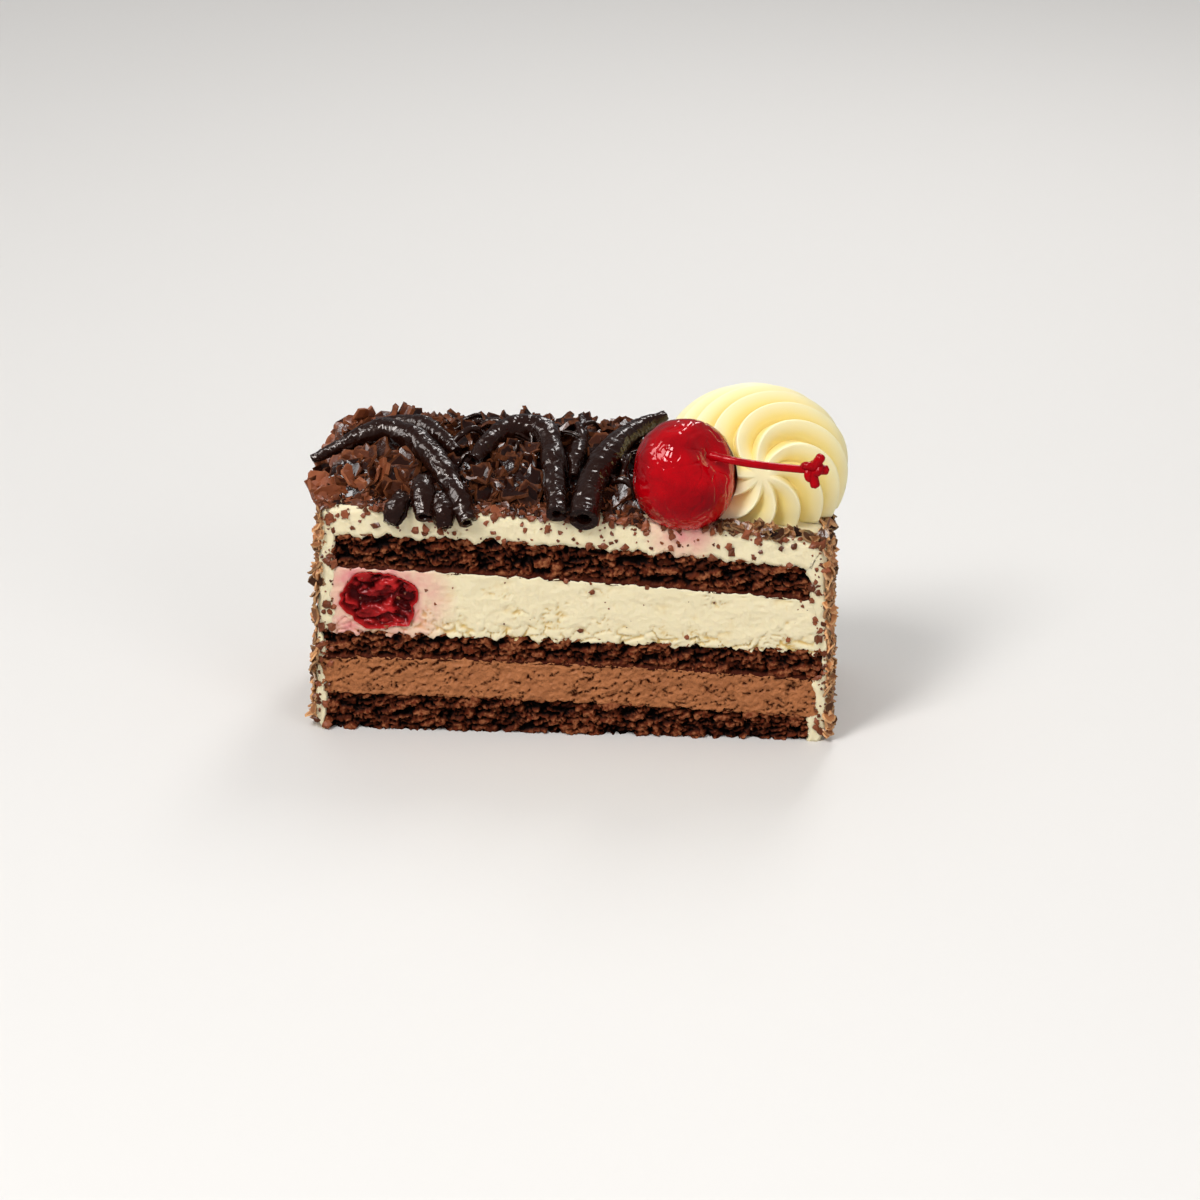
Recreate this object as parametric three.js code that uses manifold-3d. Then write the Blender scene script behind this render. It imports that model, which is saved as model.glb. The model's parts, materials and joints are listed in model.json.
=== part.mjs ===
// A slice of black forest cake, cut from a long bar. Three chocolate sponges hold a chocolate mousse and a
// vanilla cream, with one cherry in the cream at the cut. A coat of cream covers the top and the two ends.
// Chocolate shavings, chocolate curls, a piped rosette and a cherry on its knotted stem lie on top.
// Millimetres, +Z up. +X runs along the slice, and +Y from the cut face that is shown to the other one.
// The origin is the middle of the underside.
import * as THREE from 'three';
import { mergeVertices } from 'three/addons/utils/BufferGeometryUtils.js';
import Module from 'manifold-3d';

const wasm = await Module();
wasm.setup();

// Driving dimensions of the block
const ENDS = { left: -57, right: 55.7 }; // where the cream at either end meets the plate
const HALF_SPAN = 56; // from the middle to where the heights at the two ends are given
const DEPTH = 45; // between the two cut faces
const FRONT = -DEPTH / 2;
const BACK = DEPTH / 2;
const GAP = 0.3; // between pieces that touch
const LEAN = { left: 2.6, right: -1.4, over: 50 }; // how far each end shifts along +X over that height

// Height of each layer's top at the left end, in the middle and at the right end
const TOPS = {
  plate: [0, 0, 0],
  sponge_bottom: [8.9, 7.9, 5.6],
  mousse: [16.9, 16.6, 14.0],
  sponge_middle: [23.6, 22.6, 21.4],
  filling: [38.2, 36.2, 32.6],
  sponge_top: [46.0, 44.6, 40.0],
  coat: [52.4, 50.9, 46.4],
};

// Each layer from the plate up: what it lies on, the cream outside its two ends, and its cut face's crags
const LAYERS = [
  { name: 'sponge_bottom', on: 'plate', walls: [2.3, 4.4], crag: 0.8, columns: 30, rows: 3 },
  { name: 'mousse', on: 'sponge_bottom', walls: [1.7, 2.7], crag: 0.4, columns: 22, rows: 3 },
  { name: 'sponge_middle', on: 'mousse', walls: [1.4, 1.0], crag: 0.8, columns: 30, rows: 3 },
  { name: 'filling', on: 'sponge_middle', walls: [3.4, 2.8], crag: 0.3, columns: 18, rows: 4 },
  { name: 'sponge_top', on: 'filling', walls: [3.1, 3.6], crag: 0.8, columns: 30, rows: 3 },
];

// The coat's shoulders, foot and the soft edge along the cut
const SHOULDER = 3.5;
const FOOT_TUCK = 1.6;
const CUT_EDGE = 0.7;

// The heap of shavings: where it lies, its ridge, how high the core stands over the cream at its two ends,
// how thick its rim is, how far in from an end it is full height, and how round its section is
const HEAP = { left: -54.6, right: 19, front: -20, back: 21.5, ridge: 6, tall: [8.6, 11] };
const HEAP_FORM = { rim: 1.2, slope: 3, round: 2.2 };

// The cherry on top: its middle, half width and half height, and the way its stem cavity faces
const CHERRY = { middle: [23.6, -16.5, 59.2], radius: 11.0, tall: 12.2 };
const CAVITY = { faces: [0.61, -0.48, 0.63], depth: 3.4, spread: 0.42 };
const STEM = {
  path: [[29.7, -21.2, 65.4], [32.2, -23.2, 65.6], [36.5, -24.4, 65.2], [42.5, -25.0, 64.7], [50.9, -25.4, 64.2]],
  radius: 0.85,
  knot: 1.9,
  tips: [[1.9, -0.6, 3.3], [3.2, 0.4, 0], [0.8, -0.8, -3.3]], // the knot's loose ends, from its middle
};

// The cherry in the cream filling, cut through by the front face
const INNER_CHERRY = { middle: [-42.2, FRONT + 0.6, 30.7], half: [8.2, 8.0, 6.0] };

// The piped rosette: the middle of its base, its half sizes at the belly, and how its sides fall away
// below that. The star nozzle's ridges wind out from the swirl's eye, which faces the front, a little left.
const ROSETTE = { base: [38.2, 0], half: [20.7, 19.4], tall: 25.4, belly: 8, below: 22 };
const SWIRL = { eye: [-0.32, -0.92, 0.22], ridges: 14, deep: 2.2, twist: 1.3, around: 4, along: 13 };

// The chocolate curls, each a line of points chosen by hand over the heap, with its thickest radius
// and the share of it that is left at each end. Their skin is uneven by the knurl's share.
const KNURL = 0.06;
const CURLS = [
  {
    name: 'curl_arch_left',
    path: [
      [-58.2, -4, 56.4], [-52.2, -4, 59.6], [-47.6, -3, 61.7], [-42.2, -1.6, 62.6], [-36.6, -4.2, 61.8],
      [-31.8, -9.4, 60.2], [-27.8, -15.2, 57.4], [-24.4, -20.8, 54.4], [-22.2, -25.0, 50.4],
    ],
    radius: 2.2,
    ends: [0.4, 0.95],
    steps: 18,
  },
  {
    name: 'curl_arch_left_back',
    path: [[-46.4, 5.6, 61.2], [-40.4, 6.4, 61.6], [-34.4, 4.2, 61.4], [-29.6, -1.6, 60.9], [-26.4, -6.4, 59.6]],
    radius: 1.8,
    ends: [0.5, 0.6],
    steps: 12,
  },
  {
    name: 'curl_stub_left',
    path: [[-36.6, -20.8, 54.6], [-37.8, -23.4, 52.2], [-38.8, -25.0, 49.6]],
    radius: 2.0,
    ends: [0.85, 0.8],
    steps: 6,
  },
  {
    name: 'curl_stub_middle',
    path: [[-32.6, -16.6, 56.6], [-32.2, -21.0, 54.4], [-31.8, -24.8, 51.4]],
    radius: 2.0,
    ends: [0.9, 1],
    steps: 7,
  },
  {
    name: 'curl_stub_right',
    path: [[-28.6, -20.4, 54.2], [-27.7, -23.4, 52.0], [-27.0, -25.2, 49.2]],
    radius: 1.8,
    ends: [0.9, 0.9],
    steps: 6,
  },
  {
    name: 'curl_arch_middle',
    path: [
      [-22.4, -10.4, 59.2], [-20.6, -6.6, 60.7], [-17.0, -0.8, 62.2], [-12.0, 1.8, 62.8], [-7.9, 0.2, 62.4],
      [-5.6, -6.3, 60.5], [-4.4, -15.0, 57.0], [-3.2, -24.9, 52.8],
    ],
    radius: 2.2,
    ends: [0.6, 1],
    steps: 18,
  },
  {
    name: 'curl_fold',
    path: [[0.9, 4.2, 60.4], [0.3, -2.0, 60.4], [-0.2, -7.6, 59.2], [-0.4, -13.0, 57.0]],
    radius: 1.5,
    ends: [0.7, 0.6],
    steps: 9,
  },
  {
    name: 'curl_diagonal',
    path: [
      [2.6, -25.2, 51.8], [3.4, -17.6, 55.8], [5.8, -10.8, 59.2], [9.2, -3.0, 61.7], [13.6, 2.8, 63.2],
      [18.4, 6.0, 64.6],
    ],
    radius: 2.4,
    ends: [1, 0.45],
    steps: 14,
  },
];

// Flakes of chocolate: length, width and thickness, how many rows of them lie on each end and on the heap,
// how far one leans in radians, how far its middle stands out, and the room kept round a heap flake's middle
const END_FLAKE = { size: [5.6, 4.2, 1.3], rows: 8, columns: 6, tilt: 0.8, proud: 0.8 };
const HEAP_FLAKE = { size: [7.6, 5.0, 1.2], rows: 7, columns: 11, tilt: 0.95, proud: 0.7, room: 3.2 };

const COLOURS = {
  sponge: 0x3a1a10,
  mousse: 0x8a5434,
  cream: 0xf3e6bd,
  rosette: 0xf6e9b4,
  chocolate: 0x2a1410,
  shavings: 0x5a2d1a,
  cherry: 0xb3000f,
  inner_cherry: 0x7d1420,
};

// Small helpers

// The same sequence of numbers from 0 to 1 on every run.
function seeded(seed) {
  let state = seed;
  return () => {
    state = (state + 0x6d2b79f5) | 0;
    let mixed = Math.imul(state ^ (state >>> 15), 1 | state);
    mixed = (mixed + Math.imul(mixed ^ (mixed >>> 7), 61 | mixed)) ^ mixed;
    return ((mixed ^ (mixed >>> 14)) >>> 0) / 4294967296;
  };
}

const lerp = THREE.MathUtils.lerp;
const clamp = THREE.MathUtils.clamp;
const around = (random, spread) => (2 * random() - 1) * spread;

function solidOf(geometry) {
  const bare = new THREE.BufferGeometry().setAttribute('position', geometry.getAttribute('position'));
  bare.setIndex(geometry.index);
  const merged = mergeVertices(bare, 1e-4);
  return new wasm.Manifold(
    new wasm.Mesh({
      numProp: 3,
      vertProperties: new Float32Array(merged.getAttribute('position').array),
      triVerts: new Uint32Array(merged.index.array),
    }),
  );
}

function geometryOf(solid) {
  const mesh = solid.getMesh();
  const geometry = new THREE.BufferGeometry();
  geometry.setAttribute('position', new THREE.BufferAttribute(new Float32Array(mesh.vertProperties), 3));
  geometry.setIndex(new THREE.BufferAttribute(new Uint32Array(mesh.triVerts), 1));
  geometry.computeVertexNormals();
  return geometry;
}

// The largest body of a solid, without the scraps that a cut may leave.
function largest(solid) {
  return solid.decompose().reduce((best, body) => (body.volume() > best.volume() ? body : best));
}

function geometryFrom(points, faces) {
  const geometry = new THREE.BufferGeometry();
  geometry.setAttribute('position', new THREE.Float32BufferAttribute(points.flat(), 3));
  geometry.setIndex(faces.flat());
  return geometry;
}

const slice = new THREE.Group();

function addNode(name, geometry, colour, roughness) {
  const material = new THREE.MeshStandardMaterial({ color: colour, roughness, metalness: 0 });
  const mesh = new THREE.Mesh(geometry, material);
  mesh.name = name;
  geometry.computeVertexNormals();
  slice.add(mesh);
}

// The block's own shape

// A smooth line through the heights at the left end, in the middle and at the right end.
function heightAt([left, middle, right], x) {
  const u = x / HALF_SPAN;
  return middle + ((right - left) / 2) * u + ((right + left) / 2 - middle) * u * u;
}

const leftEnd = (z) => ENDS.left + (LEAN.left * z) / LEAN.over;
const rightEnd = (z) => ENDS.right + (LEAN.right * z) / LEAN.over;
const coatTop = (x) => heightAt(TOPS.coat, x);

// A layer from cut face to cut face. The two cut faces are grids of crags, and grow moves every other
// side outwards, and the cut faces by reach.
function layerGeometry({ name, on, walls, crag, columns, rows }, { grow = 0, reach = 0, random = null } = {}) {
  const points = [];
  const faces = [];
  const index = (side, i, j) => side * (columns + 1) * (rows + 1) + i * (rows + 1) + j;
  const lift = on === 'plate' ? 0 : GAP;
  [FRONT - reach, BACK + reach].forEach((y) => {
    for (let i = 0; i <= columns; i++) {
      for (let j = 0; j <= rows; j++) {
        const across = lerp(leftEnd(0) + walls[0], rightEnd(0) - walls[1], i / columns);
        const low = heightAt(TOPS[on], across) + lift - grow;
        const high = heightAt(TOPS[name], across) + grow;
        const z = lerp(low, high, j / rows);
        const x = lerp(leftEnd(z) + walls[0] - grow, rightEnd(z) - walls[1] + grow, i / columns);
        const inwards = y < 0 ? 1 : -1;
        points.push([x, y + (random ? inwards * random() * crag : 0), z]);
      }
    }
  });
  const quad = (a, b, c, d) => faces.push([a, b, c], [a, c, d]);
  for (let i = 0; i < columns; i++) {
    for (let j = 0; j < rows; j++) {
      quad(index(0, i, j), index(0, i + 1, j), index(0, i + 1, j + 1), index(0, i, j + 1));
      quad(index(1, i, j), index(1, i, j + 1), index(1, i + 1, j + 1), index(1, i + 1, j));
    }
    quad(index(0, i, rows), index(0, i + 1, rows), index(1, i + 1, rows), index(1, i, rows));
    quad(index(0, i, 0), index(1, i, 0), index(1, i + 1, 0), index(0, i + 1, 0));
  }
  for (let j = 0; j < rows; j++) {
    quad(index(0, 0, j), index(0, 0, j + 1), index(1, 0, j + 1), index(1, 0, j));
    quad(index(0, columns, j), index(1, columns, j), index(1, columns, j + 1), index(0, columns, j + 1));
  }
  return geometryFrom(points, faces);
}

// The outline of the coat seen from the front: tucked in at the foot, leaning ends and round shoulders.
function coatOutline(raise) {
  const outline = new THREE.Shape();
  const topSteps = 12;
  const leftTop = coatTop(leftEnd(LEAN.over)) + raise;
  const rightTop = coatTop(rightEnd(LEAN.over)) + raise;
  outline.moveTo(leftEnd(0) + FOOT_TUCK, 0);
  outline.quadraticCurveTo(leftEnd(0), 0, leftEnd(2 * FOOT_TUCK), 2 * FOOT_TUCK);
  outline.lineTo(leftEnd(leftTop - SHOULDER), leftTop - SHOULDER);
  const from = leftEnd(leftTop) + SHOULDER;
  const to = rightEnd(rightTop) - SHOULDER;
  outline.quadraticCurveTo(leftEnd(leftTop), leftTop, from, coatTop(from) + raise);
  for (let i = 1; i <= topSteps; i++) {
    const x = lerp(from, to, i / topSteps);
    outline.lineTo(x, coatTop(x) + raise);
  }
  outline.quadraticCurveTo(rightEnd(rightTop), rightTop, rightEnd(rightTop - SHOULDER), rightTop - SHOULDER);
  outline.lineTo(rightEnd(2 * FOOT_TUCK), 2 * FOOT_TUCK);
  outline.quadraticCurveTo(rightEnd(0), 0, rightEnd(0) - FOOT_TUCK, 0);
  outline.closePath();
  return outline;
}

// The whole block inside the coat's outline, with its foot on the plate.
function blockGeometry({ raise = 0, edge = CUT_EDGE } = {}) {
  const geometry = new THREE.ExtrudeGeometry(coatOutline(raise), {
    depth: DEPTH - 2 * edge,
    curveSegments: 4,
    bevelEnabled: edge > 0,
    bevelThickness: edge,
    bevelSize: edge,
    bevelOffset: -edge,
    bevelSegments: 2,
  });
  return geometry.rotateX(Math.PI / 2).translate(0, BACK - edge, 0);
}

// The toppings

// A tapered round strand along a line of points, with a cupped hollow in each end.
function strandGeometry({ path, radius, ends, steps }, { grow = 0, sides = 8, cup = 1.2 } = {}) {
  const curve = new THREE.CatmullRomCurve3(path.map((p) => new THREE.Vector3(...p)));
  const frames = curve.computeFrenetFrames(steps, false);
  const points = [];
  const faces = [];
  for (let i = 0; i <= steps; i++) {
    const share = i / steps;
    const middle = curve.getPointAt(share);
    const taper = share < 0.5 ? lerp(ends[0], 1, 2 * share) : lerp(1, ends[1], 2 * share - 1);
    for (let k = 0; k < sides; k++) {
      const turn = (2 * Math.PI * k) / sides;
      const knurl = 1 + KNURL * (grow > 0 ? 1 : Math.sin(5 * k + 2.1 * i));
      const r = radius * taper * knurl + grow;
      const out = frames.normals[i].clone().multiplyScalar(Math.cos(turn) * r);
      out.addScaledVector(frames.binormals[i], Math.sin(turn) * r);
      points.push(middle.clone().add(out).toArray());
    }
  }
  for (let i = 0; i < steps; i++) {
    for (let k = 0; k < sides; k++) {
      const next = (k + 1) % sides;
      const [a, b, c, d] = [i * sides + k, i * sides + next, (i + 1) * sides + next, (i + 1) * sides + k];
      faces.push([a, b, c], [a, c, d]);
    }
  }
  const inset = grow > 0 ? -grow : cup;
  const start = points.push(curve.getPointAt(0).addScaledVector(frames.tangents[0], inset).toArray()) - 1;
  const finish = points.push(curve.getPointAt(1).addScaledVector(frames.tangents[steps], -inset).toArray()) - 1;
  for (let k = 0; k < sides; k++) {
    const next = (k + 1) % sides;
    faces.push([start, next, k], [finish, steps * sides + k, steps * sides + next]);
  }
  return geometryFrom(points, faces);
}

// A ball whose pole is pressed in as a stem cavity.
function cherryGeometry(grow = 0) {
  const faces = new THREE.Vector3(...CAVITY.faces).normalize();
  const turn = new THREE.Quaternion().setFromUnitVectors(new THREE.Vector3(0, 1, 0), faces);
  const geometry = new THREE.SphereGeometry(1, 22, 13).applyQuaternion(turn);
  const position = geometry.getAttribute('position');
  const point = new THREE.Vector3();
  for (let i = 0; i < position.count; i++) {
    point.fromBufferAttribute(position, i).normalize();
    const fromPole = point.angleTo(faces);
    const dent = CAVITY.depth * Math.exp(-((fromPole / CAVITY.spread) ** 2));
    const tall = lerp(CHERRY.radius, CHERRY.tall, Math.abs(point.z));
    point.multiplyScalar(tall + grow - dent).add(new THREE.Vector3(...CHERRY.middle));
    position.setXYZ(i, point.x, point.y, point.z);
  }
  return geometry;
}

// The stem, from just off the cavity's floor to a knot of one loop round a lump, with its loose ends.
function stemSolid() {
  const { path, radius, knot, tips } = STEM;
  const stem = strandGeometry({ path, radius, ends: [1.3, 1.1], steps: 10 }, { sides: 7, cup: 0 });
  const middle = path.at(-1);
  const lump = new THREE.SphereGeometry(knot, 9, 6).translate(...middle);
  const loop = new THREE.TorusGeometry(knot, 0.9 * radius, 6, 9).rotateY(0.9).translate(...middle);
  const ends = tips.map((tip) => {
    const line = [0, 0.6, 1].map((share) => tip.map((t, axis) => middle[axis] + share * t));
    return strandGeometry({ path: line, radius: 1.1, ends: [1, 0.85], steps: 3 }, { sides: 6, cup: -0.4 });
  });
  return wasm.Manifold.union([stem, lump, loop, ...ends].map(solidOf));
}

// A dome of piped cream. Its ridges run out from the swirl's eye and wind round it, and the floor is
// cut away by the caller.
function rosetteGeometry(grow = 0) {
  const eye = new THREE.Vector3(...SWIRL.eye).normalize();
  const turn = new THREE.Quaternion().setFromUnitVectors(new THREE.Vector3(0, 0, 1), eye);
  const floor = coatTop(ROSETTE.base[0]);
  const middle = new THREE.Vector3(...ROSETTE.base, floor + ROSETTE.belly);
  const [wide, deep] = ROSETTE.half;
  const reachOf = (way) => {
    const tall = way.z > 0 ? ROSETTE.tall - ROSETTE.belly : ROSETTE.below;
    return grow + 1 / Math.hypot(way.x / wide, way.y / deep, way.z / tall);
  };
  const columns = SWIRL.ridges * SWIRL.around;
  const points = [];
  const faces = [];
  for (let j = 1; j < SWIRL.along; j++) {
    const fromEye = (Math.PI * j) / SWIRL.along;
    for (let i = 0; i < columns; i++) {
      const phase = i / SWIRL.around;
      const round = (2 * Math.PI * phase) / SWIRL.ridges + SWIRL.twist * fromEye;
      const out = new THREE.Vector3().setFromSphericalCoords(1, fromEye, round);
      out.set(out.x, out.z, out.y).applyQuaternion(turn);
      const groove = Math.abs(Math.cos(Math.PI * phase)) ** 1.5 * Math.sin(fromEye) ** 0.7;
      points.push(out.multiplyScalar(reachOf(out) - SWIRL.deep * groove).add(middle).toArray());
    }
  }
  const poles = [eye, eye.clone().negate()].map((way) => {
    return points.push(way.clone().multiplyScalar(reachOf(way)).add(middle).toArray()) - 1;
  });
  const last = (SWIRL.along - 2) * columns;
  for (let i = 0; i < columns; i++) {
    const next = (i + 1) % columns;
    faces.push([poles[0], next, i], [poles[1], last + i, last + next]);
    for (let j = 0; j < SWIRL.along - 2; j++) {
      const [a, b] = [j * columns + i, j * columns + next];
      faces.push([a, b, b + columns], [a, b + columns, a + columns]);
    }
  }
  return geometryFrom(points, faces);
}

// How far the heap's bare core stands over the cream.
function heapHeight(x, y) {
  const reach = y < HEAP.ridge ? HEAP.ridge - HEAP.front : HEAP.back - HEAP.ridge;
  const across = 1 - Math.min(1, Math.abs(y - HEAP.ridge) / reach) ** HEAP_FORM.round;
  const along = clamp(Math.min(x - HEAP.left, HEAP.right - x) / HEAP_FORM.slope, 0, 1);
  const tall = lerp(...HEAP.tall, (x - HEAP.left) / (HEAP.right - HEAP.left));
  return Math.max(HEAP_FORM.rim, tall * across * Math.sqrt(along));
}

function heapCore() {
  const columns = 18;
  const rows = 9;
  const points = [];
  const faces = [];
  const index = (layer, i, j) => layer * (columns + 1) * (rows + 1) + i * (rows + 1) + j;
  for (const layer of [0, 1]) {
    for (let i = 0; i <= columns; i++) {
      for (let j = 0; j <= rows; j++) {
        const wave = 0.8 * Math.sin(1.9 * i + 0.7) * (j === 0 || j === rows ? 1 : 0);
        const x = lerp(HEAP.left, HEAP.right, i / columns);
        const y = lerp(HEAP.front, HEAP.back, j / rows) + wave;
        points.push([x, y, coatTop(x) + GAP + layer * heapHeight(x, y)]);
      }
    }
  }
  const quad = (a, b, c, d) => faces.push([a, b, c], [a, c, d]);
  for (let i = 0; i < columns; i++) {
    for (let j = 0; j < rows; j++) {
      quad(index(1, i, j), index(1, i + 1, j), index(1, i + 1, j + 1), index(1, i, j + 1));
      quad(index(0, i, j), index(0, i, j + 1), index(0, i + 1, j + 1), index(0, i + 1, j));
    }
    quad(index(0, i, 0), index(0, i + 1, 0), index(1, i + 1, 0), index(1, i, 0));
    quad(index(0, i, rows), index(1, i, rows), index(1, i + 1, rows), index(0, i + 1, rows));
  }
  for (let j = 0; j < rows; j++) {
    quad(index(0, 0, j), index(1, 0, j), index(1, 0, j + 1), index(0, 0, j + 1));
    quad(index(0, columns, j), index(0, columns, j + 1), index(1, columns, j + 1), index(1, columns, j));
  }
  return solidOf(geometryFrom(points, faces));
}

// One shaving: a broken plate with four uneven corners, set down at a place and leaning off a normal.
function flakeSolid(random, [length, width, thick], place, normal, tilt) {
  const corners = 4;
  const plate = new THREE.Shape();
  for (let k = 0; k < corners; k++) {
    const turn = (2 * Math.PI * (k + around(random, 0.3))) / corners;
    const out = 0.5 * lerp(0.75, 1.15, random());
    const [x, y] = [Math.cos(turn) * out * length, Math.sin(turn) * out * width];
    if (k === 0) plate.moveTo(x, y);
    else plate.lineTo(x, y);
  }
  plate.closePath();
  const geometry = new THREE.ExtrudeGeometry(plate, { depth: thick, bevelEnabled: false });
  geometry.translate(0, 0, -thick / 2);
  geometry.rotateZ(random() * 2 * Math.PI);
  geometry.rotateX(around(random, tilt)).rotateY(around(random, tilt));
  const upright = new THREE.Vector3(0, 0, 1);
  geometry.applyQuaternion(new THREE.Quaternion().setFromUnitVectors(upright, normal));
  return solidOf(geometry.translate(...place));
}

// Shavings spread evenly over the two ends of the coat, a little uneven in size and place.
function endFlakes() {
  const random = seeded(11);
  const { size, rows, columns, tilt, proud } = END_FLAKE;
  const flakes = [];
  for (const [end, side] of [[leftEnd, -1], [rightEnd, 1]]) {
    const top = coatTop(end(LEAN.over)) - SHOULDER / 2;
    for (let i = 0; i < columns; i++) {
      for (let j = 0; j < rows; j++) {
        const y = lerp(FRONT + 3.4, BACK - 3.4, (i + 0.5 + around(random, 0.25)) / columns);
        const z = lerp(2.2, top, (j + 0.5 + around(random, 0.25)) / rows);
        const scale = lerp(0.75, 1.1, random());
        const place = [end(z) + side * proud, y, z];
        const normal = new THREE.Vector3(side, 0, 0);
        flakes.push(flakeSolid(random, size.map((s) => s * scale), place, normal, tilt));
      }
    }
  }
  return flakes;
}

// Shavings on the heap's core, wherever one is clear of the curls and the cherry.
function heapFlakes() {
  const random = seeded(23);
  const { size, rows, columns, tilt, proud, room } = HEAP_FLAKE;
  const obstacles = CURLS.flatMap(({ path, radius, steps }) => {
    const curve = new THREE.CatmullRomCurve3(path.map((p) => new THREE.Vector3(...p)));
    return curve.getSpacedPoints(2 * steps).map((point) => ({ point, radius }));
  });
  obstacles.push({ point: new THREE.Vector3(...CHERRY.middle), radius: CHERRY.tall });
  const flakes = [];
  for (let i = 0; i < columns; i++) {
    for (let j = 0; j < rows; j++) {
      const x = lerp(HEAP.left - 1, HEAP.right - 3, (i + 0.5 + around(random, 0.3)) / columns);
      const y = lerp(HEAP.front + 2, HEAP.back - 2, (j + 0.5 + around(random, 0.3)) / rows);
      const scale = lerp(0.75, 1.15, random());
      const place = [x, y, coatTop(x) + heapHeight(x, y) + GAP + proud];
      const normal = new THREE.Vector3(0, (y - HEAP.ridge) / DEPTH, 1).normalize();
      const flake = flakeSolid(random, size.map((s) => s * scale), place, normal, tilt);
      const spot = new THREE.Vector3(...place);
      const clear = obstacles.every(({ point, radius }) => point.distanceTo(spot) > radius + room);
      if (clear) flakes.push(flake);
    }
  }
  return flakes;
}

// The layers
const cragRandom = seeded(5);
const innerCherry = (grow) => {
  const half = INNER_CHERRY.half.map((h) => h + grow);
  return solidOf(new THREE.SphereGeometry(1, 16, 10).scale(...half).translate(...INNER_CHERRY.middle));
};
for (const layer of LAYERS) {
  const geometry = layerGeometry(layer, { random: cragRandom });
  if (layer.name === 'filling') {
    addNode(layer.name, geometryOf(solidOf(geometry).subtract(innerCherry(GAP))), COLOURS.cream, 0.6);
  } else if (layer.name === 'mousse') {
    addNode(layer.name, geometry, COLOURS.mousse, 0.7);
  } else {
    addNode(layer.name, geometry, COLOURS.sponge, 0.9);
  }
}
const block = solidOf(blockGeometry());
addNode('filling_cherry', geometryOf(innerCherry(0).intersect(block)), COLOURS.inner_cherry, 0.3);

// The curls and the room that each one presses into what is under it
for (const curl of CURLS) {
  addNode(curl.name, strandGeometry(curl), COLOURS.chocolate, 0.3);
}
const curlRoom = wasm.Manifold.union(CURLS.map((curl) => solidOf(strandGeometry(curl, { grow: GAP }))));
const cherryRoom = solidOf(cherryGeometry(GAP));
const rosetteRoom = solidOf(rosetteGeometry(GAP));

// The coat: the block with its shavings, less the layers and what is pressed into its top
const layerRoom = LAYERS.map((layer) => solidOf(layerGeometry(layer, { grow: GAP, reach: 2 })));
const underside = solidOf(new THREE.BoxGeometry(4 * ENDS.right, 4 * DEPTH, 10).translate(0, 0, -5));
const coated = wasm.Manifold.union(endFlakes()).subtract(rosetteRoom).add(block);
const coat = coated.subtract(wasm.Manifold.union([...layerRoom, curlRoom, cherryRoom, underside]));
addNode('cream_coat', geometryOf(largest(coat)), COLOURS.cream, 0.6);

// The heap of shavings, clear of everything that lies on it
const creamTop = solidOf(blockGeometry({ raise: GAP, edge: 0 }));
const heapRoom = wasm.Manifold.union([curlRoom, cherryRoom, rosetteRoom, creamTop]);
const heap = wasm.Manifold.union([heapCore(), ...heapFlakes()]).subtract(heapRoom);
addNode('shavings', geometryOf(largest(heap)), COLOURS.shavings, 0.6);

// The rosette, flat where it sits on the cream and dented by the cherry
const rosette = solidOf(rosetteGeometry()).subtract(creamTop).subtract(cherryRoom);
addNode('rosette', geometryOf(largest(rosette)), COLOURS.rosette, 0.5);

// The cherry and its stem
addNode('cherry', cherryGeometry(), COLOURS.cherry, 0.15);
addNode('cherry_stem', geometryOf(stemSolid()), COLOURS.cherry, 0.2);

export default slice;
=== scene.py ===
"""A slice of black forest cake on a pale floor.

Sizes in this file are millimetres unless a name says otherwise, and turn to metres where a mesh is made.
+X runs along the slice, +Y from the cut face that is shown to the other one, and +Z up.
"""
import json
import math
import random

import bpy
from bpy.props import FloatProperty, FloatVectorProperty, IntProperty, PointerProperty
from bpy.types import Operator, Panel, PropertyGroup
from mathutils import Matrix, Vector, noise

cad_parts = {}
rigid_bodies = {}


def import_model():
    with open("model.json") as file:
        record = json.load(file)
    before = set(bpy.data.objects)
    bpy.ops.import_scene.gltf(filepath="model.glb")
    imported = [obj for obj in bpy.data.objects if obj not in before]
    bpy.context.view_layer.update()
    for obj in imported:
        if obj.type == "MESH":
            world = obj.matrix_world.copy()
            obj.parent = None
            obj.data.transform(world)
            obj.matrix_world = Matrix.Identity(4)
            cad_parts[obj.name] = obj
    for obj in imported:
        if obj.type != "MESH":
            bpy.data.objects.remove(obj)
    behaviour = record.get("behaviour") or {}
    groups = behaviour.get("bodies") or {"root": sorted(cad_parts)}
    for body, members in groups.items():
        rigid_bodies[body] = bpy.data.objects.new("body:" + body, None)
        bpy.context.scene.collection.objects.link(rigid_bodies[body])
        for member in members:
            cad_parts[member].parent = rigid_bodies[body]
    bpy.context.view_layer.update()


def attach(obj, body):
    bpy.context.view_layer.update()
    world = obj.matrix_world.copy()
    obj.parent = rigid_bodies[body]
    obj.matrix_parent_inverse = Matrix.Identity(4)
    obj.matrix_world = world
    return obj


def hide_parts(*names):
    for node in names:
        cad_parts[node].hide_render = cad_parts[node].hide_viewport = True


bl_info = {
    "name": "Black forest cake slice",
    "version": (1, 0, 0),
    "blender": (4, 5, 0),
    "location": "3D View > Sidebar > Cake",
    "description": "Builds a slice of layered cake with shavings, curls, a rosette and a cherry",
    "category": "Add Mesh",
}

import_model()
BODY = "root"
MM = 0.001

# The block: where its two ends meet the ground, and how far they lean over a height
DEPTH = 45.0
FRONT = -DEPTH / 2
BACK = DEPTH / 2
ENDS = (-57.0, 55.7)
LEAN = (2.6, -1.4)
LEAN_OVER = 50.0
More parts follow.
